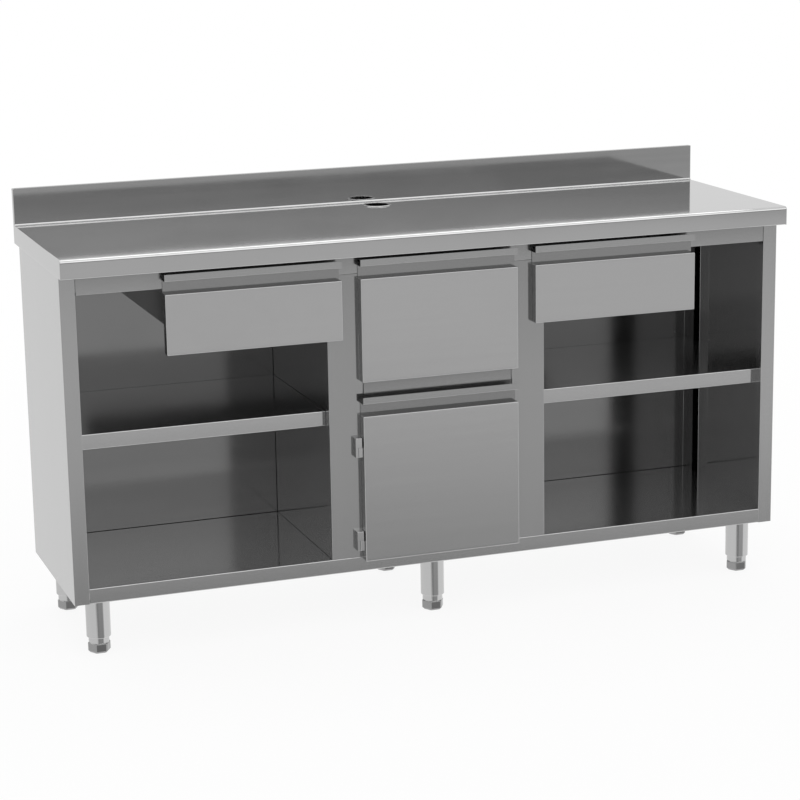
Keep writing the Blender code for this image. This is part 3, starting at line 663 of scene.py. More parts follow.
def moulded(name, base, roughness, pitch, depth):
    """Rubber or plastic: a fine grain in the bump, with paler, worn and smoother patches."""
    if name in bpy.data.materials:
        return bpy.data.materials[name]
    material, tree, shader, place = empty_material(name)
    handling = place_group(tree, handling_group(), place)
    patches_per_metre, paler, smoother, grain_height = 20.0, 1.8, -0.12, 0.0004
    handling.inputs["Size"].default_value = patches_per_metre
    patch = handling.outputs["Patch"]
    tree.links.new(tint(tree, base, scaled(base, paler), patch), shader.inputs["Base Color"])
    tree.links.new(math_node(tree, "MULTIPLY_ADD", patch, smoother, roughness), shader.inputs["Roughness"])
    bump(tree, shader, noise_node(tree, place, pitch, detail=3.0), depth, grain_height)
    return material


def finish_of(name):
    """A finish's colour and roughness."""
    finishes = bpy.context.scene.counter_finishes
    return getattr(finishes, name), getattr(finishes, f"{name}_roughness")


def sheet_metal(name, finish, direction, grain=0.04):
    """Brushed sheet with the sheets' small matt share."""
    metallic = bpy.context.scene.counter_finishes.sheet_metallic
    return brushed_metal(name, *finish_of(finish), direction, grain, metallic)


def steel(direction=LENGTHWISE):
    """Satin stainless sheet, brushed along one direction."""
    return sheet_metal(f"satin steel {DIRECTION_NAMES[direction]}", "steel", direction)


def mill_and_shade_steel(direction=LENGTHWISE):
    """Sheet that keeps its mill finish, made darker as painted shade, on rails and drawer boxes."""
    return sheet_metal(f"mill steel {DIRECTION_NAMES[direction]}", "mill", direction)


def dull_steel():
    """Dull sheet of the back panel."""
    return sheet_metal("dull steel", "dull", LENGTHWISE, grain=0.05)


def worktop_steel():
    """Satin stainless sheet of the worktop, scrubbed along its length."""
    finishes = bpy.context.scene.counter_finishes
    roughness = finishes.worktop_roughness
    return brushed_metal("worktop steel", finishes.steel, roughness, LENGTHWISE, grain=0.04)


def bright_steel():
    """Turned or cast steel with a closer polish."""
    return brushed_metal("bright steel", *finish_of("bright"), UPRIGHT, grain=0.03)


def zinc():
    """Zinc-plated steel with an even, slightly cloudy grain."""
    return brushed_metal("zinc plate", *finish_of("zinc"), ALL_ROUND, grain=0.08)


def rubber():
    """Matt rubber of the knock bar."""
    return moulded("black rubber", *finish_of("rubber"), pitch=700.0, depth=0.20)


def plastic():
    """Moulded plastic of the door catch."""
    return moulded("grey plastic", *finish_of("plastic"), pitch=1500.0, depth=0.12)


# Worktop


def pierced_deck(sizes, low, high, outline, radii):
    """The worktop's sheet with its cable hole.

    The sheet is a profile carried along X: the outline with the return under its front edge and the rear
    leg. Cells in a square window round the hole are left out, and the window's edge is joined to the circle
    at equal angles, on both faces, with a wall between the circles.
    """
    (_, foot), (_, deck), (face, _) = outline[:3]
    corners = [(low.y + sizes.edge_return, foot), *outline, (high.y, low.z)]
    path, normals, bend = rounded(corners, [sizes.bend, *radii], EDGE_STEPS)
    ring_low, ring_high = corners_of("cable_grommet")
    centre = (ring_low + ring_high) / 2
    half_window, cells = 0.62 * sizes.cable_hole, 8
    lines = np.linspace(-half_window, half_window, cells + 1)
    first = 2 * (EDGE_STEPS + 1) + 1
    path = np.insert(path, first, np.stack([centre.y + lines, np.full(cells + 1, deck)], axis=1), axis=0)
    normals = np.insert(normals, first, np.tile((0.0, -1.0), (cells + 1, 1)), axis=0)
    bend = np.insert(bend, first, np.zeros(cells + 1))
    ring, bend = sheet_ring(path, normals, bend, sizes.top_sheet)
    half = high.x - sizes.end_plate
    stations = np.concatenate([[-half], centre.x + lines, [half]])
    points, bend, quads = carried(ring, bend, "X", stations)
    columns = len(ring)
    inner_first = columns - 1 - first - cells
    row, column = quads.min(axis=1) // columns, quads.min(axis=1) % columns
    body = np.arange(len(quads)) < (len(stations) - 1) * columns
    in_rows = (row >= 1) & (row <= cells)
    on_deck = (column >= first) & (column < first + cells)
    below = (column >= inner_first) & (column < inner_first + cells)
    quads = quads[~(body & in_rows & (on_deck | below))]
    step, zero = np.arange(cells), np.zeros(cells, int)
    rows = 1 + np.concatenate([zero, step, zero + cells, cells - step])
    sides = first + np.concatenate([step, zero + cells, cells - step, zero])
    edge_top = rows * columns + sides
    edge_under = rows * columns + columns - 1 - sides
    angle = np.arctan2(points[edge_top, 1] - centre.y, points[edge_top, 0] - centre.x)
    circle = spokes(angle) * sizes.cable_hole / 2 + (centre.x, centre.y)
    hole_top = len(points) + np.arange(len(circle))
    hole_under = hole_top + len(circle)
    heights = np.repeat([deck, deck - sizes.top_sheet], len(circle))
    points = np.concatenate([points, on_axis("Z", heights, np.tile(circle, (2, 1)))])
    loops = [edge_top, hole_top, hole_under, edge_under]
    bands = [band(one, other) for one, other in zip(loops, loops[1:])]
    bend = np.concatenate([bend, np.zeros(2 * len(circle))])
    deck_part = part(points, bend, np.concatenate([quads, *bands]))
    across, upward = points[:, 1], points[:, 2]
    # the upstand's top and its folds are painted darker, and the cove's foot gets painted shade
    painted_dark_top = upward > high.z - ON_FACE * sizes.post_bend
    cove_foot = (across > face - sizes.cove) & (upward < deck + NEAR * sizes.cove) & (bend > 0.0)
    finishes = bpy.context.scene.counter_finishes
    deck_part["shade"] = painted_dark_top * finishes.top_shade + cove_foot * finishes.cove_shade
    return deck_part


class COUNTER_OT_worktop(bpy.types.Operator):
    """Folds the worktop with its upstand, closed ends and cable hole, and rims the hole."""

    bl_idname = "counter.worktop"
    bl_label = "Worktop"

    def execute(self, context):
        sizes = context.scene.counter_sizes
        low, high = corners_of("worktop")
        deck = high.z - sizes.upstand_height
        face = high.y - sizes.upstand_thickness
        foot = low.z - sizes.edge_drop
        outline = [(low.y, foot), (low.y, deck), (face, deck), (face, high.z), (high.y, high.z)]
        radii = [sizes.edge, sizes.cove, sizes.post_bend, sizes.post_bend]
        path, _, _ = rounded(outline + [(high.y, foot)], radii, EDGE_STEPS)
        parts = [pierced_deck(sizes, low, high, outline, radii)]
        for end in (low.x, high.x):
            inner = end - math.copysign(sizes.end_plate, end)
            parts.append(slab(path, "X", inner, end, sizes.end_round, both=False))
        dress("worktop", parts, worktop_steel())
        self.grommet(sizes)
        paint("worktop_stiffener", zinc())
        return {"FINISHED"}

    def grommet(self, sizes):
        """Sleeve and rounded rim of the cable hole, turned about the hole's axis."""
        low, high = corners_of("cable_grommet")
        centre = (low + high) / 2
        bore, sleeve = sizes.grommet_bore / 2, sizes.cable_hole / 2 - sizes.fit
        rim, seat = (high.x - low.x) / 2, high.z - sizes.grommet_rim
        profile = [(bore, low.z), (sleeve, low.z), (sleeve, seat)]
        profile += [(rim, seat), (rim, high.z), (bore, high.z)]
        foot, corner, underside, outer, inner = 0.0003, 0.0002, 0.0004, 0.0014, 0.0009
        radii = [foot, foot, corner, underside, outer, inner]
        dress("cable_grommet", [turned(profile, radii, centre.xy, closed=True)], bright_steel())


# Body


def upright_corners(low, high, sizes, rear_flange, front=None):
    """Path of an upright's outer face, seen from above, for the right-hand side of the counter.

    It runs from the rear flange's edge round the outer wall to the fold behind the front post, or only to
    the wall's own front edge where one is given.
    """
    outer = max(abs(low.x), abs(high.x))
    inner = min(abs(low.x), abs(high.x))
    corners = [(outer - rear_flange, high.y), (outer, high.y)]
    if front is not None:
        return corners + [(outer, front)]
    return corners + [(outer, low.y), (inner, low.y), (inner, low.y + sizes.post_return)]


def in_rear_groove(item, rear, sizes):
    """Mask of a sheet's points in the fold that meets the back panel."""
    return (item["bend"] > 0.0) & (item["points"][:, 1] > rear - sizes.rear_bend)


class COUNTER_OT_uprights(bpy.types.Operator):
    """Folds the side panels and the centre module's dividers, and finishes carriers and back panel."""

    bl_idname = "counter.uprights"
    bl_label = "Side panels and dividers"

    def execute(self, context):
        sizes, finishes = context.scene.counter_sizes, context.scene.counter_finishes
        for name, side in SIDES:
            self.side_panel(sizes, finishes, name, side)
            self.divider(sizes, finishes, name, side)
            paint(f"{name}_drawer_carrier", steel(INWARDS))
        paint("back_panel", dull_steel())
        return {"FINISHED"}

    def side_panel(self, sizes, finishes, name, side):
        """Outer wall folded into a front post, which is shaded at its head, with a rear post inside."""
        low, high = corners_of(f"{name}_side_panel")
        top_low, _ = corners_of("worktop")
        _, base_high = corners_of("base_shelf")
        _, bracket_high = corners_of(f"{name}_shelf_outer_bracket")
        wall = upright_corners(low, high, sizes, high.x - low.x)
        shadow = (top_low.z - sizes.overhang, top_low.z)
        walls = self.folded([(wall, (low.z, *shadow, high.z))], side, sizes, high.y)
        self.darken_upwards(walls, *shadow, finishes.side_shade)
        for item in walls:
            item["shade"] *= item["points"][:, 1] < low.y + ON_FACE * sizes.post_bend
        outer, front = max(abs(low.x), abs(high.x)), bracket_high.y + sizes.fit
        walls += self.rear_post(sizes, finishes, outer, front, (base_high.z + sizes.fit, high.z), side)
        dress(f"{name}_side_panel", walls, steel(UPRIGHT))

    def divider(self, sizes, finishes, name, side):
        """Wall folded into a front post, and cut out round the top rail and the worktop's stiffener."""
        low, high = corners_of(f"{name}_divider")
        rail_low, _ = corners_of("top_front_rail")
        stiff_low, stiff_high = corners_of("worktop_stiffener")
        foot, notch, cut = low.z + sizes.seam, rail_low.z - sizes.fit, stiff_low.z - sizes.fit
        behind_rail = low.y + sizes.post_return + sizes.fit
        full, wall, rear = (
            upright_corners(low, high, sizes, sizes.rear_flange, front)
            for front in (None, behind_rail, stiff_high.y + sizes.fit)
        )
        fore = [(wall[1][0], stiff_low.y - sizes.fit), (wall[1][0], behind_rail)]
        levels = [(full[2:], (low.z, foot)), (full, (foot, notch)), (wall, (notch, cut))]
        levels += [(rear, (cut, high.z)), (fore, (cut, high.z))]
        walls = self.folded(levels, side, sizes, high.y)
        self.darken_upwards(walls, foot, notch, finishes.overhang_shade)
        for item in walls:
            groove = in_rear_groove(item, high.y, sizes)
            item["shade"] = np.where(groove, finishes.groove_shade, item["shade"])
        dress(f"{name}_divider", walls, steel(UPRIGHT))

    def folded(self, levels, side, sizes, rear):
        """An upright's sheets, each a path carried over its own heights; the left upright is mirrored."""
        parts = []
        for corners, heights in levels:
            radii = [sizes.rear_bend if y == rear else sizes.post_bend for _, y in corners[1:-1]]
            parts.append(sheet(corners, radii, sizes.sheet, "Z", heights, mirror=side < 0))
        return parts

    def rear_post(self, sizes, finishes, outer, front, heights, side):
        """Box along a side panel's rear edge, in two bent sheets.

        The nose is its front, with painted shade, and a closed face that slants across its corner, painted
        near black as a dark slot. The cheek is the side behind that face, with painted shade, and a flange
        in line with the back panel.
        """
        panel_low, panel_high = corners_of("back_panel")
        wall, face = outer - sizes.sheet, outer - sizes.rear_post
        slot = front + sizes.post_slot
        corners = [(wall, front), (face + 0.5 * sizes.post_slot, front), (face, slot)]
        nose = sheet(corners, sizes.post_bend, sizes.sheet, "Z", heights, mirror=side < 0)
        flat = nose["bend"] == 0.0
        # painted shadow on the slanted face, and painted shade on the front
        in_painted_slot = flat & (nose["points"][:, 1] > front + NEAR * sizes.post_bend)
        nose["shade"] = np.where(in_painted_slot, finishes.painted_slot_shade, flat * finishes.post_shade)
        corners = [(face, slot), (face, panel_low.y), (panel_high.x + sizes.fit, panel_low.y)]
        cheek = sheet(corners, sizes.post_bend, sizes.sheet, "Z", heights, mirror=side < 0)
        slack = 0.1 * sizes.post_bend
        on_side = np.abs(cheek["points"][:, 0]) > face - slack
        cheek["shade"] = np.where(on_side, finishes.cheek_shade, finishes.post_shade)
        return [nose, cheek]

    def darken_upwards(self, parts, start, end, shade):
        """Shades sheets more and more, from nothing at one height to the full shade at another."""
        for item in parts:
            item["shade"] = shade * np.clip((item["points"][:, 2] - start) / (end - start), 0.0, 1.0)


class COUNTER_OT_rails(bpy.types.Operator):
    """Folds the channels across the front of the body."""

    bl_idname = "counter.rails"
    bl_label = "Rails"

    def execute(self, context):
        sizes = context.scene.counter_sizes
        for node in ("top_front_rail", "mid_rail"):
            low, high = corners_of(node)
            corners = [(high.y, low.z), (low.y, low.z), (low.y, high.z), (high.y, high.z)]
            stations = (low.x + sizes.rail_gap, high.x - sizes.rail_gap)
            rail = sheet(corners, sizes.post_bend, sizes.sheet, "X", stations)
            # painted shade: the rails' upper half is made darker again under the worktop
            upper = rail["points"][:, 2] > (low.z + high.z) / 2
            rail["shade"] = RAIL_SHARE * upper * context.scene.counter_finishes.overhang_shade
            dress(node, [rail], mill_and_shade_steel())
        return {"FINISHED"}


class COUNTER_OT_shelves(bpy.types.Operator):
    """Folds the base and the bays' shelves, and finishes the angles that carry the shelves."""

    bl_idname = "counter.shelves"
    bl_label = "Base and shelves"

    def execute(self, context):
        sizes = context.scene.counter_sizes
        low, high = corners_of("base_shelf")
        corners = [(low.y + sizes.post_return, low.z), (low.y, low.z), (low.y, high.z)]
        corners += [(high.y, high.z), (high.y, low.z)]
        rail_low, rail_high = corners_of("top_front_rail")
        notch = low.y + sizes.post_return + sizes.fit
        ends = [(notch, high.z), (high.y, high.z), (high.y, low.z)]
        radii = [sizes.bend, sizes.bend, sizes.rear_bend]
        parts = [sheet(corners, radii, sizes.sheet, "X", (rail_low.x, rail_high.x))]
        for stations in ((low.x, rail_low.x), (rail_high.x, high.x)):
            parts.append(sheet(ends, sizes.rear_bend, sizes.sheet, "X", stations))
        groove_shade = context.scene.counter_finishes.groove_shade
        for item in parts:
            item["shade"] = groove_shade * in_rear_groove(item, high.y, sizes)
        dress("base_shelf", parts, steel(LENGTHWISE))
        for bay, side in SIDES:
            low, high = corners_of(f"{bay}_shelf")
            _, bracket_high = corners_of(f"{bay}_shelf_outer_bracket")
            inner, outer = sorted((low.x, high.x), key=abs)
            post = outer - side * sizes.rear_post
            corners = [(low.y + sizes.shelf_return, low.z), (low.y, low.z), (low.y, high.z)]
            whole = corners + [(high.y, high.z), (high.y, low.z)]
            cut_back = corners + [(bracket_high.y, high.z)]
            inner += side * sizes.seam
            radii = [sizes.bend, sizes.bend, 0.5 * sizes.bend]
            parts = [sheet(whole, radii, sizes.sheet, "X", (inner, post))]
            parts += [sheet(cut_back, sizes.bend, sizes.sheet, "X", (post, outer))]
            dress(f"{bay}_shelf", parts, steel(LENGTHWISE))
            for end in ("outer", "inner"):
                paint(f"{bay}_shelf_{end}_bracket", zinc())
        return {"FINISHED"}


# Drawers and door


def front_parts(node, sizes, rim):
    """A front's tray-shaped panel, and above it a hook: the recess's web and an upright lip, all with
    painted shade.
    """
    low, high = corners_of(node)
    finishes = bpy.context.scene.counter_finishes
    lip = high.z - sizes.lip
    main = lip - sizes.recess
    web, depth = high.y - sizes.sheet, high.y - low.y
    panel = tray((low.x, low.z), (high.x, main), "Y", low.y, depth, rim, sizes.sheet, sizes.front_round)
    across, upward = panel["points"][:, 1], panel["points"][:, 2]
    ledge = (upward > main - NEAR * sizes.front_round) & (across > low.y + ON_FACE * sizes.front_round)
    panel["shade"] = ledge * finishes.ledge_shade
    corners = [(web, main), (web, lip), (low.y, lip), (low.y, high.z)]
    hook = sheet(corners, [0.5 * sizes.sheet, sizes.front_round], sizes.sheet, "X", (low.x, high.x))
    # painted shade: the web is darkened in the recess, and the lip under the worktop
    in_recess = hook["points"][:, 1] > low.y + 2.0 * sizes.front_round
    hook["shade"] = np.where(in_recess, finishes.recess_shade, finishes.lip_shade)
    return [panel, hook]


class COUNTER_OT_drawers(bpy.types.Operator):
    """Folds the drawer fronts and boxes, and finishes their runners and the knock bar."""

    bl_idname = "counter.drawers"
    bl_label = "Drawers"

    def execute(self, context):
        sizes = context.scene.counter_sizes
        for name in ("left_drawer", "centre_drawer", "right_drawer"):
            front = front_parts(f"{name}_front", sizes, sizes.front_return)
            dress(f"{name}_front", front, steel(LENGTHWISE))
            low, high = corners_of(f"{name}_box")
            box = tray(low.xy, high.xy, "Z", low.z, high.z - low.z, None, sizes.sheet, sizes.bend)
            dress(f"{name}_box", [box], mill_and_shade_steel(INWARDS))
            for kind in ("fixed", "moving"):
                for side in ("left", "right"):
                    paint(f"{name}_{kind}_runner_{side}", zinc())
        low, high = corners_of("knock_bar")
        radius, centre = (high.z - low.z) / 2, (low + high) / 2
        core, rounding = CORE * radius, 0.15 * radius
        profile = [(core, low.x), (radius, low.x), (radius, high.x), (core, high.x)]
        bar = turned(profile, rounding, centre.yz, axis="X", segments=48)
        dress("knock_bar", [bar], rubber())
        return {"FINISHED"}


class COUNTER_OT_door(bpy.types.Operator):
    """Folds the cupboard door's skin and liner and finishes the catch behind it."""

    bl_idname = "counter.door"
    bl_label = "Door"

    def execute(self, context):
        sizes = context.scene.counter_sizes
        dress("door_skin", front_parts("door_skin", sizes, None), steel(LENGTHWISE))
        low, high = corners_of("door_liner")
        depth = low.y - high.y
        liner = tray(low.xz, high.xz, "Y", high.y, depth, None, sizes.sheet, sizes.bend)
        dress("door_liner", [liner], steel(LENGTHWISE))
        paint("door_catch", plastic())
        return {"FINISHED"}


def arc(centre, radius, start, end, steps):
    """Points on an arc between two angles, both ends included."""
    return np.asarray(centre) + radius * spokes(np.linspace(start, end, steps + 1))


class COUNTER_OT_hinges(bpy.types.Operator):
    """Shapes the block hinges: frame leaves, door leaves and pins."""

    bl_idname = "counter.hinges"
    bl_label = "Hinges"

    def execute(self, context):
        sizes = context.scene.counter_sizes
        axis = np.array(JOINTS["door_hinge"]["pos_m"][:2])
        for name in ("upper_hinge", "lower_hinge"):
            self.frame_leaf(sizes, f"{name}_frame_leaf", f"{name}_door_leaf", axis)
            self.door_leaf(sizes, f"{name}_door_leaf", axis)
            paint(f"{name}_pin", zinc())
        return {"FINISHED"}

    def frame_leaf(self, sizes, node, mate, axis):
        """Block on the post: whole above, hollowed round the door leaf's barrel below."""
        low, high = corners_of(node)
        _, mate_high = corners_of(mate)
        middle = mate_high.z + sizes.fit
        hollow = high.x - axis[0] + sizes.hinge_running
        face = axis[1] - sizes.hinge_face
        corners = [(low.x, high.y), (low.x, face), (axis[0] + sizes.hinge_corner, face)]
        corners += [(high.x, axis[1]), (high.x, high.y)]
        whole, _, _ = rounded(corners, [sizes.hinge_round, 1.5 * sizes.hinge_round, sizes.hinge_round])
        meet = math.asin(-sizes.hinge_face / hollow)
        bay = arc(axis, hollow, -math.pi - meet, -1.5 * math.pi, 12)
        notched = np.concatenate([[(low.x, high.y), (low.x, face)], bay, [(axis[0], high.y)]])
        upper = slab(whole, "Z", middle, high.z, sizes.hinge_round)
        lower = slab(notched, "Z", middle, low.z, sizes.hinge_round * 0.5, both=False)
        dress(node, [upper, lower], bright_steel())

    def door_leaf(self, sizes, node, axis):
        """Barrel about the pin, flat in front as far as a pad that lies against the door's side."""
        low, high = corners_of(node)
        radius = axis[0] - low.x
        pad = high.x - sizes.hinge_pad
        meet = math.acos((pad - axis[0]) / radius)
        barrel = arc(axis, radius, -math.pi / 2, meet - math.tau, 28)
        face = axis[1] - sizes.hinge_face
        barrel[:, 1] = np.maximum(barrel[:, 1], face)
        outline = np.concatenate([barrel, [(pad, high.y), (high.x, high.y), (high.x, face)]])
        dress(node, [slab(outline, "Z", low.z, high.z, sizes.hinge_round * 0.4)], bright_steel())


# Legs and feet


def hexagon_to_circle(height, flats):
    """Radius of a foot's profile point by angle: six-sided with turned corners up to a height, round above.

    At angle a from the middle of a side, a hexagon has the radius flats / cos(a), here as a share of the
    radius that the corners are turned down to, and never more than 1.
    """

    def reach(path, angle):
        side = np.mod(angle, math.pi / 3) - math.pi / 6
        six = np.minimum(flats / np.cos(side), 1.0)
        flat = path[:, 1:] <= height
        return path[:, :1] * np.where(flat, six, 1.0)

    return reach


class COUNTER_OT_legs(bpy.types.Operator):
    """Turns the legs and shapes their six-sided feet."""

    bl_idname = "counter.legs"
    bl_label = "Legs and feet"

    def execute(self, context):
        sizes = context.scene.counter_sizes
        for row in ("front", "rear"):
            for column in ("left", "centre", "right"):
                self.leg(sizes, f"leg_{row}_{column}")
                self.foot(sizes, f"foot_{row}_{column}")
        return {"FINISHED"}

    def leg(self, sizes, node):
        """Tube with a fixing flange at its head and a blind bore from below."""
        low, high = corners_of(node)
        centre = ((low + high) / 2).xy
        tube, flange = sizes.tube / 2, (high.x - low.x) / 2
        bore, top = sizes.neck / 2 + sizes.fit, high.z - sizes.leg_crown
        seat = high.z - sizes.leg_flange_thickness
        disc = 0.004
        profile = [(disc, top), (bore, top), (bore, low.z), (tube, low.z), (tube, seat)]
        profile += [(flange, seat), (flange, high.z), (disc, high.z)]
        fillet, mouth, hem, rim = 0.002, 0.0012, 0.0018, 0.0008
        dress(node, [turned(profile, [fillet, mouth, hem, fillet, rim, rim], centre)], bright_steel())

    def foot(self, sizes, node):
        """Six-sided foot with a chamfered underside, and the round neck that enters the leg."""
        low, high = corners_of(node)
        centre = ((low + high) / 2).xy
        corner, neck = sizes.foot_round / 2, sizes.neck / 2
        height, chamfer = sizes.foot_height, sizes.foot_chamfer
        relief = 0.0012
        profile = [(CORE * corner, 0.0), (corner - chamfer, 0.0), (corner, chamfer), (corner, height)]
        profile += [(neck - relief, height), (neck - relief, height + relief), (neck, height + 2 * relief)]
        profile += [(neck, high.z), (CORE * neck, high.z)]
        edge, side, fine, crown = 0.0010, 0.0012, 0.0003, 0.0015
        radii = [edge, side, edge, fine, fine, fine, crown]
        shape = hexagon_to_circle(height + TOLERANCE, sizes.foot_flats / sizes.foot_round)
        body = turned(profile, radii, centre, segments=72, shape=shape)
        six_sided = body["points"][:, 2] <= height + TOLERANCE
        body["shade"] = six_sided * bpy.context.scene.counter_finishes.foot_shade
        dress(node, [body], bright_steel())


# Stage


def level_ramp(tree, value, stops):
    """Grey levels set out over a value from -1 to 1 and joined smoothly."""
    ramp = tree.nodes.new("ShaderNodeValToRGB")
    ramp.color_ramp.interpolation = "EASE"
    while len(ramp.color_ramp.elements) < len(stops):
        ramp.color_ramp.elements.new(0.5)
    for element, (place, level) in zip(ramp.color_ramp.elements, stops):
        element.position = (place + 1.0) / 2
        element.color = (level, level, level, 1.0)
    tree.links.new(math_node(tree, "MULTIPLY_ADD", value, 0.5, 0.5), ramp.inputs["Fac"])
    return ramp.outputs["Color"]


def studio_world(stage):
    """White studio with a dimmer sector before the counter, where the camera stands.

    Camera and transmission rays see plain white. The metal sees the studio that lights it: pale on the
    left, the right and behind, and dimmer in a sector between two bearings from -Y. In the sector the level
    goes by the direction's height, its Z, and falls further on the camera's side.
    """
    world = bpy.data.worlds.new("white studio")
    world.use_nodes = True
    bpy.context.scene.world = world
    tree = world.node_tree
    way = tree.nodes.new("ShaderNodeSeparateXYZ")
    tree.links.new(tree.nodes.new("ShaderNodeTexCoord").outputs["Generated"], way.inputs[0])
    x, y, z = way.outputs
    bearing = math_node(tree, "ARCTAN2", x, math_node(tree, "MULTIPLY", y, -1.0))

    def by_bearing(value, start, end, level_before, level_after):
        """A level that changes between two bearings, in degrees."""
        return span_node(tree, value, math.radians(start), math.radians(end), level_before, level_after)

    narrowing = span_node(tree, z, -0.325, -0.285, math.radians(13), 0.0)
    left_edge = by_bearing(math_node(tree, "SUBTRACT", bearing, narrowing), -37, -28, 0.0, 1.0)
    sector = math_node(tree, "MULTIPLY", left_edge, by_bearing(bearing, 33, 46, 1.0, 0.0))
    levels_by_height = [
        (-0.58, 0.95),
        (-0.44, stage.front_low),
        (-0.36, stage.front_low),
        (-0.19, stage.front_level),
        (-0.151, stage.front_level),
        (-0.142, stage.front_level * 0.66),
        (0.10, stage.front_high),
        (0.1465, stage.front_high),
        (0.154, stage.front_high * 2.40),
        (0.170, stage.front_high * 2.40),
        (0.19, stage.front_high * 1.58),
        (0.258, stage.front_high * 1.68),
        (0.280, 0.66),
        (0.298, 1.0),
        (0.70, 1.0),
        (0.98, 0.6),
    ]
    shade_by_height = [(-0.33, 0.0), (-0.27, 1.0), (-0.05, 1.0), (0.15, 0.75), (0.25, 0.3)]
    camera_side = by_bearing(bearing, -14, 2, stage.front_shade, 0.0)
    shade = math_node(tree, "MULTIPLY", camera_side, level_ramp(tree, z, shade_by_height))
    key = span_node(tree, z, 0.29, 0.36, 1.0, stage.front_key)
    gain = math_node(tree, "MULTIPLY", math_node(tree, "SUBTRACT", 1.0, shade), key)
    before = math_node(tree, "MULTIPLY", level_ramp(tree, z, levels_by_height), gain)
    around = span_node(tree, x, -0.45, 0.25, stage.left_level, stage.right_level)
    elsewhere = math_node(tree, "MULTIPLY", math_node(tree, "SUBTRACT", 1.0, sector), around)
    glow = math_node(tree, "MULTIPLY_ADD", sector, before, elsewhere)
    light = tree.nodes.new("ShaderNodeLightPath").outputs
    seen = math_node(tree, "MAXIMUM", light["Is Camera Ray"], light["Is Transmission Ray"])
    tree.links.new(tint(tree, glow, stage.white, seen), tree.nodes["Background"].inputs["Color"])


def floor_disc(stage):
    """Pale floor that keeps the counter's shadow and turns plain white a few metres out."""
    segments = 64
    circle = stage.floor_radius * spokes(np.arange(segments) * (math.tau / segments))
    mesh = bpy.data.meshes.new("floor")
    mesh.from_pydata(on_axis("Z", np.zeros(segments), circle).tolist(), [], [list(range(segments))])
    floor = bpy.data.objects.new("floor", mesh)
    bpy.context.scene.collection.objects.link(floor)
    floor.visible_glossy = False
    material, tree, shader, place = empty_material("floor")
    shader.inputs["Base Color"].default_value = (*stage.floor, 1.0)
    shader.inputs["Roughness"].default_value = 0.9
    distance = tree.nodes.new("ShaderNodeVectorMath")
    distance.operation = "LENGTH"
    tree.links.new(place, distance.inputs[0])
    near, far, near_share = 1.2, 4.5, 0.90
    whiteness = span_node(tree, distance.outputs["Value"], near, far, near_share, 1.0)
    light = tree.nodes.new("ShaderNodeLightPath").outputs
    seen = math_node(tree, "MAXIMUM", light["Is Camera Ray"], light["Is Glossy Ray"])
    seen = math_node(tree, "MAXIMUM", seen, light["Is Transmission Ray"])
    glow = tree.nodes.new("ShaderNodeEmission")
    glow.inputs["Color"].default_value = (*stage.white, 1.0)
    mix = tree.nodes.new("ShaderNodeMixShader")
    tree.links.new(math_node(tree, "MULTIPLY", seen, whiteness), mix.inputs["Fac"])
    tree.links.new(shader.outputs[0], mix.inputs[1])
    tree.links.new(glow.outputs[0], mix.inputs[2])
    tree.links.new(mix.outputs[0], tree.nodes["Material Output"].inputs["Surface"])
    mesh.materials.append(material)


def softbox(name, place, target, size, power):
    """A rectangular lamp that faces a target."""
    data = bpy.data.lights.new(name, "AREA")
    data.shape = "RECTANGLE"
    data.size, data.size_y = size
    data.energy = power
    lamp = bpy.data.objects.new(name, data)
    lamp.location = place
    lamp.visible_camera = False
    lamp.rotation_euler = (Vector(target) - Vector(place)).to_track_quat("-Z", "Y").to_euler()
    bpy.context.scene.collection.objects.link(lamp)


def photo_camera(stage):
    """Camera at the photograph's place, heading, fall and roll."""
    turn, fall, roll = stage.camera_turn, stage.camera_fall, stage.camera_roll
    ahead = Vector((math.sin(turn) * math.cos(fall), math.cos(turn) * math.cos(fall), -math.sin(fall)))
    right = Vector((math.cos(turn), -math.sin(turn), 0.0))
    up = right.cross(ahead)
    across = math.cos(roll) * right + math.sin(roll) * up
    above = math.cos(roll) * up - math.sin(roll) * right
    data = bpy.data.cameras.new("photo camera")
    data.lens = stage.camera_lens
    data.sensor_width = 36.0
    camera = bpy.data.objects.new("photo camera", data)
    heading = Matrix((across, above, -ahead)).transposed().to_4x4()
    camera.matrix_world = Matrix.Translation(stage.camera_place) @ heading
    bpy.context.scene.collection.objects.link(camera)
    bpy.context.scene.camera = camera


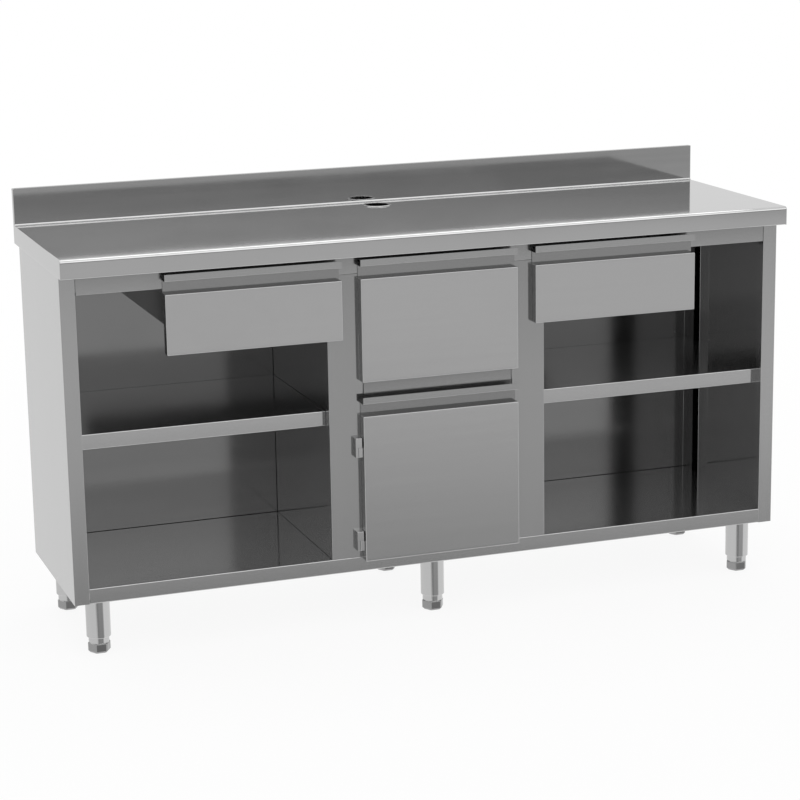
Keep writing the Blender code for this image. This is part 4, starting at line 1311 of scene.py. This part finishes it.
class COUNTER_OT_stage(bpy.types.Operator):
    """Sets the floor, the studio's light and the camera."""

    bl_idname = "counter.stage"
    bl_label = "Stage"

    def execute(self, context):
        stage = context.scene.counter_stage
        context.scene.view_settings.view_transform = "Standard"
        studio_world(stage)
        floor_disc(stage)
        softbox("top softbox", place=(0.0, 0.6, 4.2), target=(0.0, 0.0, 1.0), size=(5.2, 2.2), power=40.0)
        photo_camera(stage)
        return {"FINISHED"}


class COUNTER_PT_panel(bpy.types.Panel):
    """Lists the counter's pieces and the values that shape and colour them."""

    bl_idname = "COUNTER_PT_panel"
    bl_label = "Coffee Machine Counter"
    bl_space_type = "VIEW_3D"
    bl_region_type = "UI"
    bl_category = "Counter"

    def draw(self, context):
        for operator in PIECE_OPERATORS:
            self.layout.operator(operator.bl_idname)
        for name in VALUE_GROUPS:
            group, box = getattr(context.scene, name), self.layout.box()
            for label in group.__annotations__:
                box.prop(group, label)


PIECE_OPERATORS = (
    COUNTER_OT_worktop,
    COUNTER_OT_uprights,
    COUNTER_OT_rails,
    COUNTER_OT_shelves,
    COUNTER_OT_drawers,
    COUNTER_OT_door,
    COUNTER_OT_hinges,
    COUNTER_OT_legs,
    COUNTER_OT_stage,
)
VALUE_GROUPS = {
    "counter_sizes": CounterSizes,
    "counter_finishes": CounterFinishes,
    "counter_stage": CounterStage,
}


def register():
    """Registers the classes and hangs their values on the scene."""
    for item in (*VALUE_GROUPS.values(), *PIECE_OPERATORS, COUNTER_PT_panel):
        bpy.utils.register_class(item)
    for name, group in VALUE_GROUPS.items():
        setattr(bpy.types.Scene, name, PointerProperty(type=group))


def unregister():
    """Takes the values off the scene and unregisters the classes."""
    for name in VALUE_GROUPS:
        delattr(bpy.types.Scene, name)
    for item in (COUNTER_PT_panel, *reversed(PIECE_OPERATORS), *reversed(VALUE_GROUPS.values())):
        bpy.utils.unregister_class(item)


def main():
    register()
    bpy.ops.counter.worktop()
    bpy.ops.counter.uprights()
    bpy.ops.counter.rails()
    bpy.ops.counter.shelves()
    bpy.ops.counter.drawers()
    bpy.ops.counter.door()
    bpy.ops.counter.hinges()
    bpy.ops.counter.legs()
    bpy.ops.counter.stage()
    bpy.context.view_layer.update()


if __name__ == "__main__":
    main()
